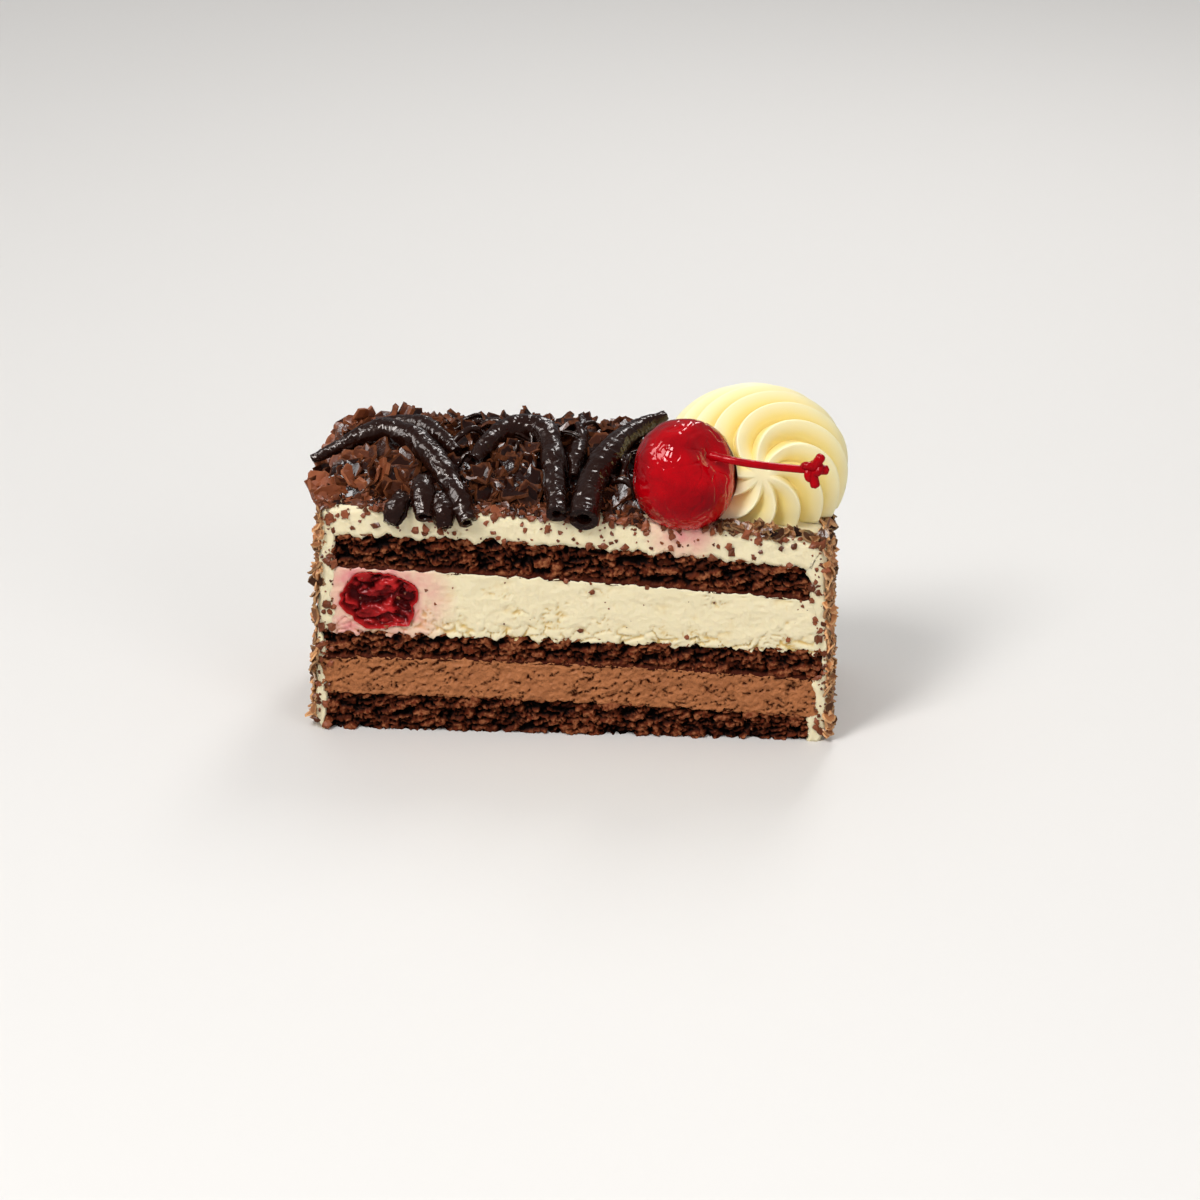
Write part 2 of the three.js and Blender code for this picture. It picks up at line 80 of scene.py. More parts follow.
# The height of each layer's top at the left end, in the middle and at the right end
HALF_SPAN = 56.0
TOPS = {
    "ground": (0.0, 0.0, 0.0),
    "sponge_bottom": (8.9, 7.9, 5.6),
    "mousse": (16.9, 16.6, 14.0),
    "sponge_middle": (23.6, 22.6, 21.4),
    "filling": (38.2, 36.2, 32.6),
    "sponge_top": (46.0, 44.6, 40.0),
    "coat": (52.4, 50.9, 46.4),
}
# What each layer lies on, and how thick the cream is outside its two ends
LAYERS = {
    "sponge_bottom": ("ground", (2.3, 4.4)),
    "mousse": ("sponge_bottom", (1.7, 2.7)),
    "sponge_middle": ("mousse", (1.4, 1.0)),
    "filling": ("sponge_middle", (3.4, 2.8)),
    "sponge_top": ("filling", (3.1, 3.6)),
}
# Steps from cut to cut in a layer's mesh, what sets the pattern of the back cut apart from the front's, and
# how far layers and cream lap into each other at the ends, in full from a height on
LAYER_STEPS = 5
BACK_SEED = 50
WALL_LAP = 0.8
LAP_FROM = 4.0
# The coat: its round shoulder and its cut edge, and how far it draws in over the height of its foot
SHOULDER = 3.5
CUT_EDGE = 0.7
FOOT_TUCK = 1.6
FOOT_TALL = 3.2
# Steps of the coat's mesh: up each wall, round each shoulder, along the top, over each cut, and between cuts
COAT_STEPS = {"wall": 90, "shoulder": 14, "top": 280, "cut": 16, "deep": 46}
COAT_SEED = 60

# The heap: its outline on the cream and its ridge, the ridge's height at each end, and how its sides fall
HEAP = {"left": -54.6, "right": 19.0, "front": -20.0, "back": 21.5, "ridge": 6.0}
HEAP_TALL = (8.6, 11.0)
HEAP_FORM = {"rim": 1.2, "slope": 3.0, "round": 2.2}
# The heap's shavings by kind: share of the count, sizes as shares of the longest, how far front and back
# they lie, how far they lift off the core as a share of their size, how flat they lie, and how pale they
# may be
HEAP_KINDS = {
    "shards": (0.42, (0.45, 1.0), (-17.0, 20.0), 0.14, 1.0, 0.0),
    "spikes": (0.06, (0.3, 0.5), (6.0, 15.0), 0.1, 0.2, 0.0),
    "bits": (0.14, (0.15, 0.4), (-19.0, 21.5), 0.1, 1.0, 0.2),
    "fringe": (0.38, (0.08, 0.36), (-22.0, -14.0), 0.1, 1.0, 0.7),
}
# One in so many of the shavings on an end lies along its front edge
EDGE_EVERY = 14
# Where crumbs lie, with the places that take most of them named twice
CRUMB_PLACES = ("coat cut", "coat cut", "top", "top", "filling", "wall")

# The cherry on top, the hollow in it, the stem that comes out of the hollow, the stem's knot with its loose
# tips, and the steps along their meshes
CHERRY = {"middle": (23.6, -16.5, 59.2), "radius": 11.0, "tall": 12.2}
CAVITY = {"faces": (0.61, -0.48, 0.63), "depth": 3.4, "spread": 0.42}
STEM_RADIUS = 0.85
STEM_PATH = (
    (29.7, -21.2, 65.4), (32.2, -23.2, 65.6), (36.5, -24.4, 65.2), (42.5, -25.0, 64.7), (50.9, -25.4, 64.2))
KNOT_SIZE = 0.62
KNOT_TIPS = ((1.9, -0.6, 3.3), (3.2, 0.4, 0.0), (0.8, -0.8, -3.3))
STEM_STEPS = {"stem": 60, "knot": 73, "tip": 12}
# The cut cherry in the filling, and the hollow in the cream behind its face
INNER_CHERRY = {"middle": (-42.2, -21.9, 30.7), "half": (8.2, 8.0, 6.0)}
INNER_HOLLOW = 5.0
# The rosette's dome, and its ridges: where their eye faces, how far and how fast they wind, the steep share
# of each, and how far the eye sinks in. Then the mesh's steps across a ridge and from the eye to the far side
ROSETTE = {"base": (38.2, 0.0), "half": (20.7, 19.4), "tall": 25.4, "belly": 8.0, "below": 22.0}
SWIRL = {"eye": (0.12, -0.97, 0.19), "ridges": 9, "twist": 1.25, "sweep": 1.6, "steep": 0.36, "sink": 3.2}
SWIRL_STEPS = (34, 150)
# Room between the rosette and the cherry that presses it aside
CHERRY_ROOM = 0.5
# Each curl's line of points, its thickest radius, and the share of it that is left at each end
CURLS = {
    "curl_arch_left": (
        ((-58.2, -4, 56.4), (-52.2, -4, 59.6), (-47.6, -3, 61.7), (-42.2, -1.6, 62.6), (-36.6, -4.2, 61.8),
         (-31.8, -9.4, 60.2), (-27.8, -15.2, 57.4), (-24.4, -20.8, 54.4), (-22.2, -25.0, 50.4)),
        2.2, (0.4, 0.95)),
    "curl_arch_left_back": (
        ((-46.4, 5.6, 61.2), (-40.4, 6.4, 61.6), (-34.4, 4.2, 61.4), (-29.6, -1.6, 60.9),
         (-26.4, -6.4, 59.6)),
        1.8, (0.5, 0.6)),
    "curl_stub_left": (
        ((-36.6, -20.8, 54.6), (-37.8, -23.4, 52.2), (-38.8, -25.0, 49.6)),
        2.0, (0.85, 0.8)),
    "curl_stub_middle": (
        ((-32.6, -16.6, 56.6), (-32.2, -21.0, 54.4), (-31.8, -24.8, 51.4)),
        2.0, (0.9, 1.0)),
    "curl_stub_right": (
        ((-28.6, -20.4, 54.2), (-27.7, -23.4, 52.0), (-27.0, -25.2, 49.2)),
        1.8, (0.9, 0.9)),
    "curl_arch_middle": (
        ((-22.4, -10.4, 59.2), (-20.6, -6.6, 60.7), (-17.0, -0.8, 62.2), (-12.0, 1.8, 62.8),
         (-7.9, 0.2, 62.4), (-5.6, -6.3, 60.5), (-4.4, -15.0, 57.0), (-3.2, -24.9, 52.8)),
        2.2, (0.6, 1.0)),
    "curl_fold": (
        ((0.9, 4.2, 60.4), (0.3, -2.0, 60.4), (-0.2, -7.6, 59.2), (-0.4, -13.0, 57.0)),
        1.5, (0.7, 0.6)),
    "curl_diagonal": (
        ((2.6, -25.2, 51.8), (3.4, -17.6, 55.8), (5.8, -10.8, 59.2), (9.2, -3.0, 61.7), (13.6, 2.8, 63.2),
         (18.4, 6.0, 64.6)),
        2.4, (1.0, 0.45)),
}
# How much wider the open, wrinkled rolls are than those radii, how far round in radians a roll reaches to
# each side of its seam, its wall as a share of its radius, the sides of the meshes of rolls and strands, and
# their steps for each point of a roll's line and along a whole strand
CURL_SPREAD = 1.3
CURL_REACH = 2.85
CURL_WALL = 0.5
CURL_SIDES = 64
STRAND_SIDES = 24
CURL_STEPS = 24
STRAND_STEPS = 40
# How far along and across the heap the middles of the strands lie
STRAND_FIELD = ((-26.0, 16.0), (-15.0, 6.0))

# The camera: where it stands, what it looks at, and its lens and sensor
CAMERA_PLACE = (51.06, -739.74, 327.01)
CAMERA_AIM = (5.86, -21.35, 31.79)
CAMERA_LENS = 108.0
CAMERA_SENSOR = 36.0
# Each lamp's place, its size and its watts. Only some are mirrored in what is glossy, and the window does
# nothing else
LAMPS = {
    "key": ((-500, -650, 970), (320, 600), 11.4),
    "fill": ((520, -640, 420), (420, 420), 1.9),
    "rim": ((120, 480, 560), (140, 360), 1.3),
    "back": ((-200, 900, 900), (900, 900), 1.8),
    "window": ((-775, -120, 660), (500, 420), 4.0),
}
MIRRORED = ("key", "rim", "window")
LAMPS_AIM = (0, 0, 30)
# The even light from above, and how bright the studio is as a light and as it is seen
CEILING = {"strength": 0.8, "spread": 120.0}
STUDIO = {"colour": (0.95, 0.97, 1.0, 1.0), "light": 0.16, "seen": 0.62}
FLOOR_HALF = 3000.0

# The kinds of node that are used over and over
MATH = "ShaderNodeMath"
VECTOR = "ShaderNodeVectorMath"
COMBINE = "ShaderNodeCombineXYZ"
SEPARATE = "ShaderNodeSeparateXYZ"
RANGE = "ShaderNodeMapRange"
NOISE = "ShaderNodeTexNoise"
BUMP = "ShaderNodeBump"
COORDS = "ShaderNodeTexCoord"
ATTRIBUTE = "ShaderNodeAttribute"


def linear(code):
    """An sRGB hex colour as linear red, green and blue, with full alpha."""
    parts = [int(code[i:i + 2], 16) / 255 for i in (0, 2, 4)]
    return (*(c / 12.92 if c <= 0.04045 else ((c + 0.055) / 1.055) ** 2.4 for c in parts), 1.0)


def colour(name, code, description):
    return FloatVectorProperty(
        name=name, description=description, subtype="COLOR", size=4, min=0, max=1, default=linear(code))


def length(name, size, description):
    return FloatProperty(name=name, description=description, default=size * MM, min=0, unit="LENGTH")


def number(name, count, description):
    return IntProperty(name=name, description=description, default=count, min=0)


class CakeSizes(PropertyGroup):
    """Sizes of the detail on the slice."""

    cut_step: length("Cut step", 0.36, "Spacing of the points on the cut faces")
    crumb_depth: length("Crumb depth", 1.2, "How far the sponge's pores go in")
    flake_length: length("Flake length", 8.2, "Longest shaving on the heap")
    end_flake_length: length("End flake length", 4.4, "Longest shaving on the coat's ends")
    wrinkle_depth: length("Wrinkle depth", 0.6, "How deep the skin of the curls is wrinkled")
    ridge_depth: length("Ridge depth", 3.4, "How deep the grooves of the rosette are")
    heap_flakes: number("Heap flakes", 1150, "Shavings on the heap")
    end_flakes: number("End flakes", 700, "Shavings on each end")
    strands: number("Strands", 26, "Melted strands over the heap")
    crumbs: number("Crumbs", 920, "Crumbs on the cream")


class CakeColours(PropertyGroup):
    """Main colours of the slice's materials."""

    crumb: colour("Sponge crumb", "602611", "Lit crumb of the sponge")
    # Lighter on the raised crumbs: partly grain, partly painted highlight
    crumb_grain_and_highlight: colour("Light crumb", "985c3a", "Lighter grains in the sponge")
    # Painted shade deep in the sponge's pores
    pore_shade: colour("Sponge pore", "090201", "Deep in the sponge's pores")
    skin: colour("Sponge skin", "3f1509", "Baked underside of each sponge")
    mousse: colour("Mousse", "ae6d42", "Chocolate mousse")
    # Painted shade in the torn gaps of the mousse
    mousse_tear_shade: colour("Mousse tear", "5c2a0e", "Torn places in the mousse")
    cream: colour("Cream", "e6d9b4", "Cream of the filling and the coat")
    # Painted shade in the cracks and hollows of the cream
    cream_crack_shade: colour("Cream crack", "d8b870", "Cracks and hollows in the cream")
    stain: colour("Cherry stain", "dc7f84", "Juice drawn into the cream")
    rosette: colour("Rosette", "f7eabd", "Piped cream")
    # Painted shade in the rosette's grooves: deeper yellow there
    groove: colour("Rosette groove", "f4df90", "Piped cream in the grooves")
    chocolate: colour("Dark chocolate", "1e0a05", "Curls")
    flake_dark: colour("Dark flake", "200b06", "Darkest shavings")
    flake_light: colour("Light flake", "8f4b2b", "Lightest shavings on the heap")
    caramel: colour("Caramel flake", "cd8550", "Lightest shavings on the ends")
    flake_edge: colour("Flake edge", "9c5b37", "Broken edges of the shavings on the heap")
    caramel_edge: colour("Caramel edge", "ecbb84", "Broken edges of the shavings on the ends")
    cherry: colour("Cherry", "bd000d", "Candied skin")
    cherry_deep: colour("Cherry shade", "84000a", "Darker patches of the skin")
    stem: colour("Stem", "7c0510", "Cherry stem")
    flesh: colour("Cherry flesh", "ae1f20", "Cherry in the filling")
    # Painted shade in the hollows of the flesh, partly random fibre
    flesh_hollow_shade: colour("Flesh hollow", "430608", "Hollows of the cherry in the filling")
    floor: colour("Floor", "dfdcd8", "Floor under the slice")


# Places on the slice

def mix(a, b, share):
    return a + (b - a) * share


def clamp(value, low=0.0, high=1.0):
    return max(low, min(high, value))


def smooth(low, high, value):
    t = clamp((value - low) / (high - low))
    return t * t * (3 - 2 * t)


def shares(count):
    """Evenly spaced values from 0 to 1."""
    return [n / (count - 1) for n in range(count)]


def height_at(tops, x):
    """A smooth line through the heights at the left end, in the middle and at the right end."""
    left, middle, right = tops
    u = x / HALF_SPAN
    return middle + (right - left) / 2 * u + ((right + left) / 2 - middle) * u * u


def coat_top(x):
    return height_at(TOPS["coat"], x)


def end_at(side, z):
    """Where the left end (0) or the right end (1) of the cream is at a height."""
    return ENDS[side] + LEAN[side] * z / LEAN_OVER


def inward(side):
    """The way along X from the left end (0) or the right end (1) into the slice."""
    return 1 - 2 * side


def foot_tuck(z):
    """How far the ends of the cream draw in near the ground."""
    return FOOT_TUCK * (1 - smooth(0, FOOT_TALL, z))


def smooth_line(path, count):
    """Evenly many points on a smooth line through the points of a path."""
    points = [Vector(p) for p in path]
    points = [2 * points[0] - points[1]] + points + [2 * points[-1] - points[-2]]
    line = []
    spans = len(points) - 3
    for share in shares(count):
        place = share * spans
        i = min(int(place), spans - 1)
        t = place - i
        a, b, c, d = points[i:i + 4]
        line.append(0.5 * (2 * b + (c - a) * t + (2 * a - 5 * b + 4 * c - d) * t**2
                           + (3 * b - a - 3 * c + d) * t**3))
    return line


# Patterns

def waves(x, y, z, octaves):
    """Fractal noise about 0 at a place."""
    return noise.fractal(Vector((x, y, z)), 1.0, 2.0, octaves)


def cell_at(x, y, z):
    """The middle of the cell that a place is in, and how far the place is from that and from the border."""
    near, middles = noise.voronoi(Vector((x, y, z)))
    return middles[0], near[0], near[1] - near[0]


def own_value(middle, pick=3.7):
    """A value about 0 that differs from cell to cell."""
    return noise.noise(middle * pick)


def per_mm(size):
    """The scale of a noise whose features are about that many millimetres."""
    return 1 / (size * MM)


# Meshes

def ball_turns(around, up):
    """The turn about the axis and the fall from the pole of each point of a ball, ring by ring."""
    return [(2 * math.pi * i / around, math.pi * j / up) for j in range(up + 1) for i in range(around)]


def ring_faces(rings, around, capped=False):
    """Quads between rings of points, each ring closed, and caps on the first and the last ring if asked."""
    faces = []
    for start in range(0, (rings - 1) * around, around):
        for i in range(around):
            a, b = start + i, start + (i + 1) % around
            faces.append([a, a + around, b + around, b])
    if capped:
        faces.append(list(range(around)))
        faces.append([(rings - 1) * around + i for i in reversed(range(around))])
    return faces


def sheet_faces(long, wide):
    """Quads over two grids of points, the upper one first, and round the border between them."""
    half, last, side = long * wide, long - 1, wide - 1

    def at(i, j):
        return i * wide + j

    faces = []
    for i in range(last):
        for j in range(side):
            quad = [at(i, j), at(i + 1, j), at(i + 1, j + 1), at(i, j + 1)]
            faces.append(quad)
            faces.append([half + q for q in reversed(quad)])
    border = [at(i, 0) for i in range(last)] + [at(last, j) for j in range(side)]
    border += [at(i, side) for i in range(last, 0, -1)] + [at(0, j) for j in range(side, 0, -1)]
    for a, b in zip(border, border[1:] + border[:1]):
        faces.append([b, a, half + a, half + b])
    return faces


def box_lattice(columns, deep, rows):
    """The points on the outside of a box of lattice cells, and the quads between them, facing outwards."""
    counts = (columns, deep, rows)
    index = {}
    quads = []
    for axis in range(3):
        for level in (0, counts[axis]):
            first, second = (axis + 1) % 3, (axis + 2) % 3
            if level == 0:
                first, second = second, first
            for a in range(counts[first]):
                for b in range(counts[second]):
                    quad = []
                    for p, q in ((a, b), (a + 1, b), (a + 1, b + 1), (a, b + 1)):
                        place = {axis: level, first: p, second: q}
                        quad.append(index.setdefault((place[0], place[1], place[2]), len(index)))
                    quads.append(quad)
    return list(index), quads


def new_piece(name, points, faces, **attributes):
    """A mesh object from points in millimetres, with one number per point in each attribute."""
    mesh = bpy.data.meshes.new(name)
    mesh.from_pydata([tuple(c * MM for c in p) for p in points], [], faces)
    for key, values in attributes.items():
        mesh.attributes.new(key, "FLOAT", "POINT").data.foreach_set("value", values)
    mesh.shade_smooth()
    return linked(name, mesh)


def linked(name, data):
    """A new object in the scene."""
    thing = bpy.data.objects.new(name, data)
    bpy.context.scene.collection.objects.link(thing)
    return thing


def settle(piece, slot, *nodes, material=None):
    """Dress a finished piece and hand it to the frame."""
    if material:
        piece.data.materials.clear()
        piece.data.materials.append(material)
    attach(piece, BODY)
    if nodes:
        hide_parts(*nodes)


# Node trees

def feed(tree, sockets, inputs):
    """Give a node's inputs, by name or in order, each a value or a link."""
    named = inputs if isinstance(inputs, dict) else dict(enumerate(inputs))
    for key, value in named.items():
        if isinstance(value, bpy.types.NodeSocket):
            tree.links.new(value, sockets[key])
        else:
            sockets[key].default_value = value


def put(tree, kind, inputs=(), out=0, **settings):
    """Add a node with its settings and inputs, and give back one of its outputs."""
    node = tree.nodes.new(kind)
    for key, value in settings.items():
        setattr(node, key, value)
    feed(tree, node.inputs, inputs)
    return node.outputs[out] if node.outputs else None


def layered(tree, base, *coats):
    """A colour with others laid over it, each as far as its pattern has come from one value to another."""
    for pattern, start, full, tint in coats:
        share = put(tree, RANGE, (pattern, start, full))
        base = put(tree, "ShaderNodeMix", {0: share, 6: base, 7: tint}, out=2, data_type="RGBA")
    return base


def new_surface(name, **values):
    """A material, its node tree, and the inputs of its one shader, with its constant values set on them."""
    material = bpy.data.materials.new(name)
    material.use_nodes = True
    tree = material.node_tree
    shader = tree.nodes["Principled BSDF"].inputs
    feed(tree, shader, {key.replace("_", " "): value for key, value in values.items()})
    return material, tree, shader


def new_tree(name, **inputs):
    """An empty geometry tree, and its inputs: Geometry, and those that are named here by socket type."""
    tree = bpy.data.node_groups.new(name, "GeometryNodeTree")
    tree.interface.new_socket("Geometry", in_out="OUTPUT", socket_type="NodeSocketGeometry")
    for key, kind in {"Geometry": "NodeSocketGeometry", **inputs}.items():
        tree.interface.new_socket(key, in_out="INPUT", socket_type=kind)
    return tree, put(tree, "NodeGroupInput").node.outputs


def close_tree(tree, shape, material):
    """End a geometry tree with real, dressed meshes."""
    real = put(tree, "GeometryNodeRealizeInstances", [shape])
    dressed = put(tree, "GeometryNodeSetMaterial", {"Geometry": real, "Material": material})
    put(tree, "NodeGroupOutput", [dressed])
    return tree


def from_tree(source, name, tree, **values):
    """Run a geometry tree on an object, keep the result as a plain mesh, and drop the object."""
    modifier = source.modifiers.new("shape", "NODES")
    modifier.node_group = tree
    for socket in tree.interface.items_tree:
        if socket.item_type == "SOCKET" and socket.in_out == "INPUT" and socket.name in values:
            modifier[socket.identifier] = values[socket.name]
    evaluated = source.evaluated_get(bpy.context.evaluated_depsgraph_get())
    mesh = bpy.data.meshes.new_from_object(evaluated)
    bpy.data.objects.remove(source)
    mesh.name = name
    return linked(name, mesh)


# The layers

# A relief is how far in a cut face lies at a place. The place is divided by the sizes of the features there

def crumb_relief(x, z, seed, rise, depth):
    """An open sponge: flat lumps of crumb with torn gaps between them."""
    warp = waves(x / 3.4, seed, z / 2.2, 3)
    middle, _, border = cell_at(x / 3.1 + 0.8 * warp, seed, z / 1.5 + 0.6 * warp)
    gap = 1 - smooth(0.0, 0.24, border)
    fine = waves(x / 0.9, seed + 9, z / 0.7, 2)
    inside = smooth(0.0, 0.14, rise)
    open_crumb = 0.2 + 0.95 * gap + own_value(middle) + 0.45 * fine + 0.4 * warp
    return max(0.0, 0.3 + depth * inside * open_crumb)


def tear_relief(x, z, seed, rise, depth):
    """A set mousse that a knife has torn: ragged scales, most of them lifted off a crescent of torn gap."""
    soft = waves(x / 4.0, seed, z / 2.6, 3)
    place = Vector((x / 2.8 + 1.1 * soft, seed, z / 1.65 + 0.9 * soft))
    middle, _, border = cell_at(*place)
    own = own_value(middle)
    turn = 2.4 * own_value(middle, pick=5.3) - math.pi / 2
    lean = (place - middle).dot(Vector((math.cos(turn), 0, math.sin(turn))))
    edge = 1 - smooth(0.0, 0.22, border)
    tear = edge * smooth(0.0, 0.3, lean) * smooth(-0.25, 0.05, own)
    lift = smooth(-0.3, 0.5, lean) * smooth(-0.3, 0.2, own)
    fine = waves(x / 1.1, seed + 4, z / 0.8, 2)
    rough = 0.3 * soft + 1.5 * tear - 0.4 * lift + 0.25 * fine
    return max(0.0, 0.35 + depth * rough)


def cream_relief(x, z, seed, rise, depth):
    """A cut cream: gentle smears, scattered pits, and torn lumps near its foot."""
    soft = waves(x / 6.0, seed, z / 4.0, 3)
    middle, off, _ = cell_at(x / 2.4 + 0.6 * soft, seed + 4, z / 1.5)
    pit = 1 - smooth(0.03, 0.3, off) if own_value(middle, pick=4.3) > 0.2 else 0
    line = abs(waves(x / 3.2, seed + 4, z / 1.3, 2))
    torn = smooth(0.05, 0.5, noise.noise(Vector((x / 8.0, seed + 7, z / 5.0))) + 0.45 * (0.6 - rise))
    crack = (1 - smooth(0.0, 0.1, line)) * torn
    _, _, border = cell_at(x / 4.2 + 0.5 * soft, seed + 11, z / 2.4)
    foot = 1 - smooth(0.1, 0.34, rise)
    lump = 1 - smooth(0.0, 0.12, border)
    fine = noise.noise(Vector((x / 1.2, seed + 2, z / 0.9)))
    rough = 0.35 * soft + 0.5 * pit + 0.6 * crack + 0.7 * foot * lump + 0.14 * fine
    return max(0.0, 0.25 + depth * rough)


# How each kind of layer is cut, how deep, and how ragged its lower and upper edges are
CUTS = {
    "sponge": (crumb_relief, 1.15, 0.35, 0.5),
    "mousse": (tear_relief, 0.8, 0.5, 0.5),
    "filling": (cream_relief, 0.65, 1.3, 0.4),
}


def kind_of(layer):
    return layer.split("_")[0]


def inner_cherry_rim(turn):
    """How far the torn rim of the filling's cherry stands out, as a share of its half sizes."""
    return 1.07 + 0.2 * waves(1.5 * math.cos(turn), 1.5 * math.sin(turn), 1.7, 3)


def inner_cherry_hollow(x, z):
    """How deep the filling is hollowed behind the face of its cherry."""
    middle, half = INNER_CHERRY["middle"], INNER_CHERRY["half"]
    across, up = (x - middle[0]) / half[0], (z - middle[2]) / half[2]
    share = math.hypot(across, up) / inner_cherry_rim(math.atan2(up, across))
    return INNER_HOLLOW * (1 - smooth(0.9, 1.0, share))


def layer_edges(name, along, seed):
    """The heights of a layer's ragged lower and upper edges at a place along it."""
    under, _ = LAYERS[name]
    _, _, low_rag, high_rag = CUTS[kind_of(name)]
    rag = waves(along / 2.3, seed, 3.0, 3)
    high = height_at(TOPS[name], along) + high_rag * (0.3 + rag)
    if under == "ground":
        return 0.6 * max(0.0, rag), high
    return height_at(TOPS[under], along) - low_rag * (0.3 + rag), high


def layer_piece(name, step, crumb_depth):
    """One layer of the slice, with its two cut faces as close grids of relief."""
    under, walls = LAYERS[name]
    relief, depth, _, _ = CUTS[kind_of(name)]
    depth *= crumb_depth
    columns = round((ENDS[1] - ENDS[0]) / step)
    rows = round((TOPS[name][1] - TOPS[under][1]) / step)
    places, quads = box_lattice(columns, LAYER_STEPS, rows)
    points, pits, rises = [], [], []
    for i, j, k in places:
        seed = 10.0 * list(LAYERS).index(name) + (BACK_SEED if j > LAYER_STEPS / 2 else 0)
        along = mix(ENDS[0] + walls[0], ENDS[1] - walls[1], i / columns)
        z = mix(*layer_edges(name, along, seed), k / rows)
        lap = WALL_LAP * smooth(0, LAP_FROM, z)
        x = mix(end_at(0, z) + walls[0] - lap, end_at(1, z) - walls[1] + lap, i / columns)
        rise = 1.0 if under == "ground" else k / rows
        cut = relief(x, z, seed, rise, depth) if j in (0, LAYER_STEPS) else 0.0
        hollow = inner_cherry_hollow(x, z) if name == "filling" and j == 0 else 0.0
        y = BACK - cut if j == LAYER_STEPS else mix(FRONT, BACK, j / LAYER_STEPS) + cut + hollow
        points.append((x, y, z))
        pits.append(clamp(cut / (2 * depth)))
        rises.append(rise)
    return new_piece(name + "_cut", points, quads, pit=pits, rise=rises)


def sponge_surface(colours):
    """Baked cocoa sponge: moist and rough, with painted shade near black in its pores, lighter on raised
    crumbs as grain and partly painted highlight, and a smooth red-brown skin below.
    """
    material, tree, shader = new_surface("Cocoa sponge", Roughness=0.65, Specular_IOR_Level=0.08)
    place = put(tree, COORDS, out="Object")
    pit = put(tree, ATTRIBUTE, out="Fac", attribute_name="pit")
    rise = put(tree, ATTRIBUTE, out="Fac", attribute_name="rise")
    grain = put(tree, NOISE, {"Vector": place, "Scale": per_mm(0.8), "Detail": 4.0})
    # Lighter where the crumb stands proud of the pits: partly grain, partly painted highlight
    grain_and_highlight = put(tree, MATH, (pit, -0.5, grain), operation="MULTIPLY_ADD")
    # Darker with the depth of the pits: painted shade in the pores
    base = layered(
        tree, colours.crumb, (grain_and_highlight, 0.34, 0.62, colours.crumb_grain_and_highlight), (pit, 0.16, 0.6, colours.pore_shade),
        (rise, 0.14, 0.04, colours.skin))
    bump = put(tree, BUMP, {"Strength": 0.8, "Distance": 0.4 * MM, "Height": grain})
    feed(tree, shader, {"Base Color": base, "Normal": bump})
    return material


def mousse_surface(colours):
    """Set chocolate mousse: soft, matte, a little darker where the knife tore it, as painted shade in the
    torn gaps, and darker in random clouds.
    """
    material, tree, shader = new_surface("Chocolate mousse", Roughness=0.55, Specular_IOR_Level=0.2)
    place = put(tree, COORDS, out="Object")
    pit = put(tree, ATTRIBUTE, out="Fac", attribute_name="pit")
    cloud = put(tree, NOISE, {"Vector": place, "Scale": per_mm(3.0), "Detail": 4.0})
    grain = put(tree, NOISE, {"Vector": place, "Scale": per_mm(0.9), "Detail": 2.0})
    # Darker with the depth of the torn gaps: painted shade
    torn = put(tree, RANGE, (pit, 0.22, 0.6))
    shade = put(tree, RANGE, (cloud, 0.3, 0.75, 0.0, 0.35))
    dark = put(tree, MATH, (torn, shade), operation="MAXIMUM")
    base = layered(tree, colours.mousse, (dark, 0.0, 1.0, colours.mousse_tear_shade))
    scales = put(tree, "ShaderNodeTexVoronoi", {"Vector": place, "Scale": per_mm(1.5)})
    rough = put(tree, MATH, (scales, 0.9, grain), operation="MULTIPLY_ADD")
    bump = put(tree, BUMP, {"Strength": 0.8, "Distance": 0.7 * MM, "Height": rough})
    feed(tree, shader, {"Base Color": base, "Normal": bump})
    return material


def cream_surface(name, colours, stain_from, stain_reach):
    """Set whipped cream: ivory, faintly see-through, with painted shade that is darker and yellower in cracks
    and hollows, pink where cherry juice runs in.
    """
    material, tree, shader = new_surface(
        name, Roughness=0.5, Specular_IOR_Level=0.4, Subsurface_Weight=0.25, Subsurface_Scale=1.5 * MM,
        Subsurface_Radius=(1.0, 0.8, 0.5))
    place = put(tree, COORDS, out="Object")
    pit = put(tree, ATTRIBUTE, out="Fac", attribute_name="pit")
    cloud = put(tree, NOISE, {"Vector": place, "Scale": per_mm(4.0), "Detail": 4.0})
    grain = put(tree, NOISE, {"Vector": place, "Scale": per_mm(1.4), "Detail": 2.0})
    full, none = (reach * MM for reach in stain_reach)
    away = put(tree, VECTOR, (place, Vector(stain_from) * MM), out="Value", operation="DISTANCE")
    near = put(tree, RANGE, (away, none, full, 0.0, 0.9))
    blotch = put(tree, RANGE, (cloud, 0.35, 0.65, 0.4, 1.0))
    juice = put(tree, MATH, (near, blotch), operation="MULTIPLY")
    # Darker and yellower with the depth of the cuts: painted shade in cracks and hollows
    base = layered(
        tree, colours.cream, (pit, 0.22, 0.5, colours.cream_crack_shade), (juice, 0.0, 1.0, colours.stain))
    bump = put(tree, BUMP, {"Strength": 0.45, "Distance": 0.5 * MM, "Height": grain})
    feed(tree, shader, {"Base Color": base, "Normal": bump})
    return material


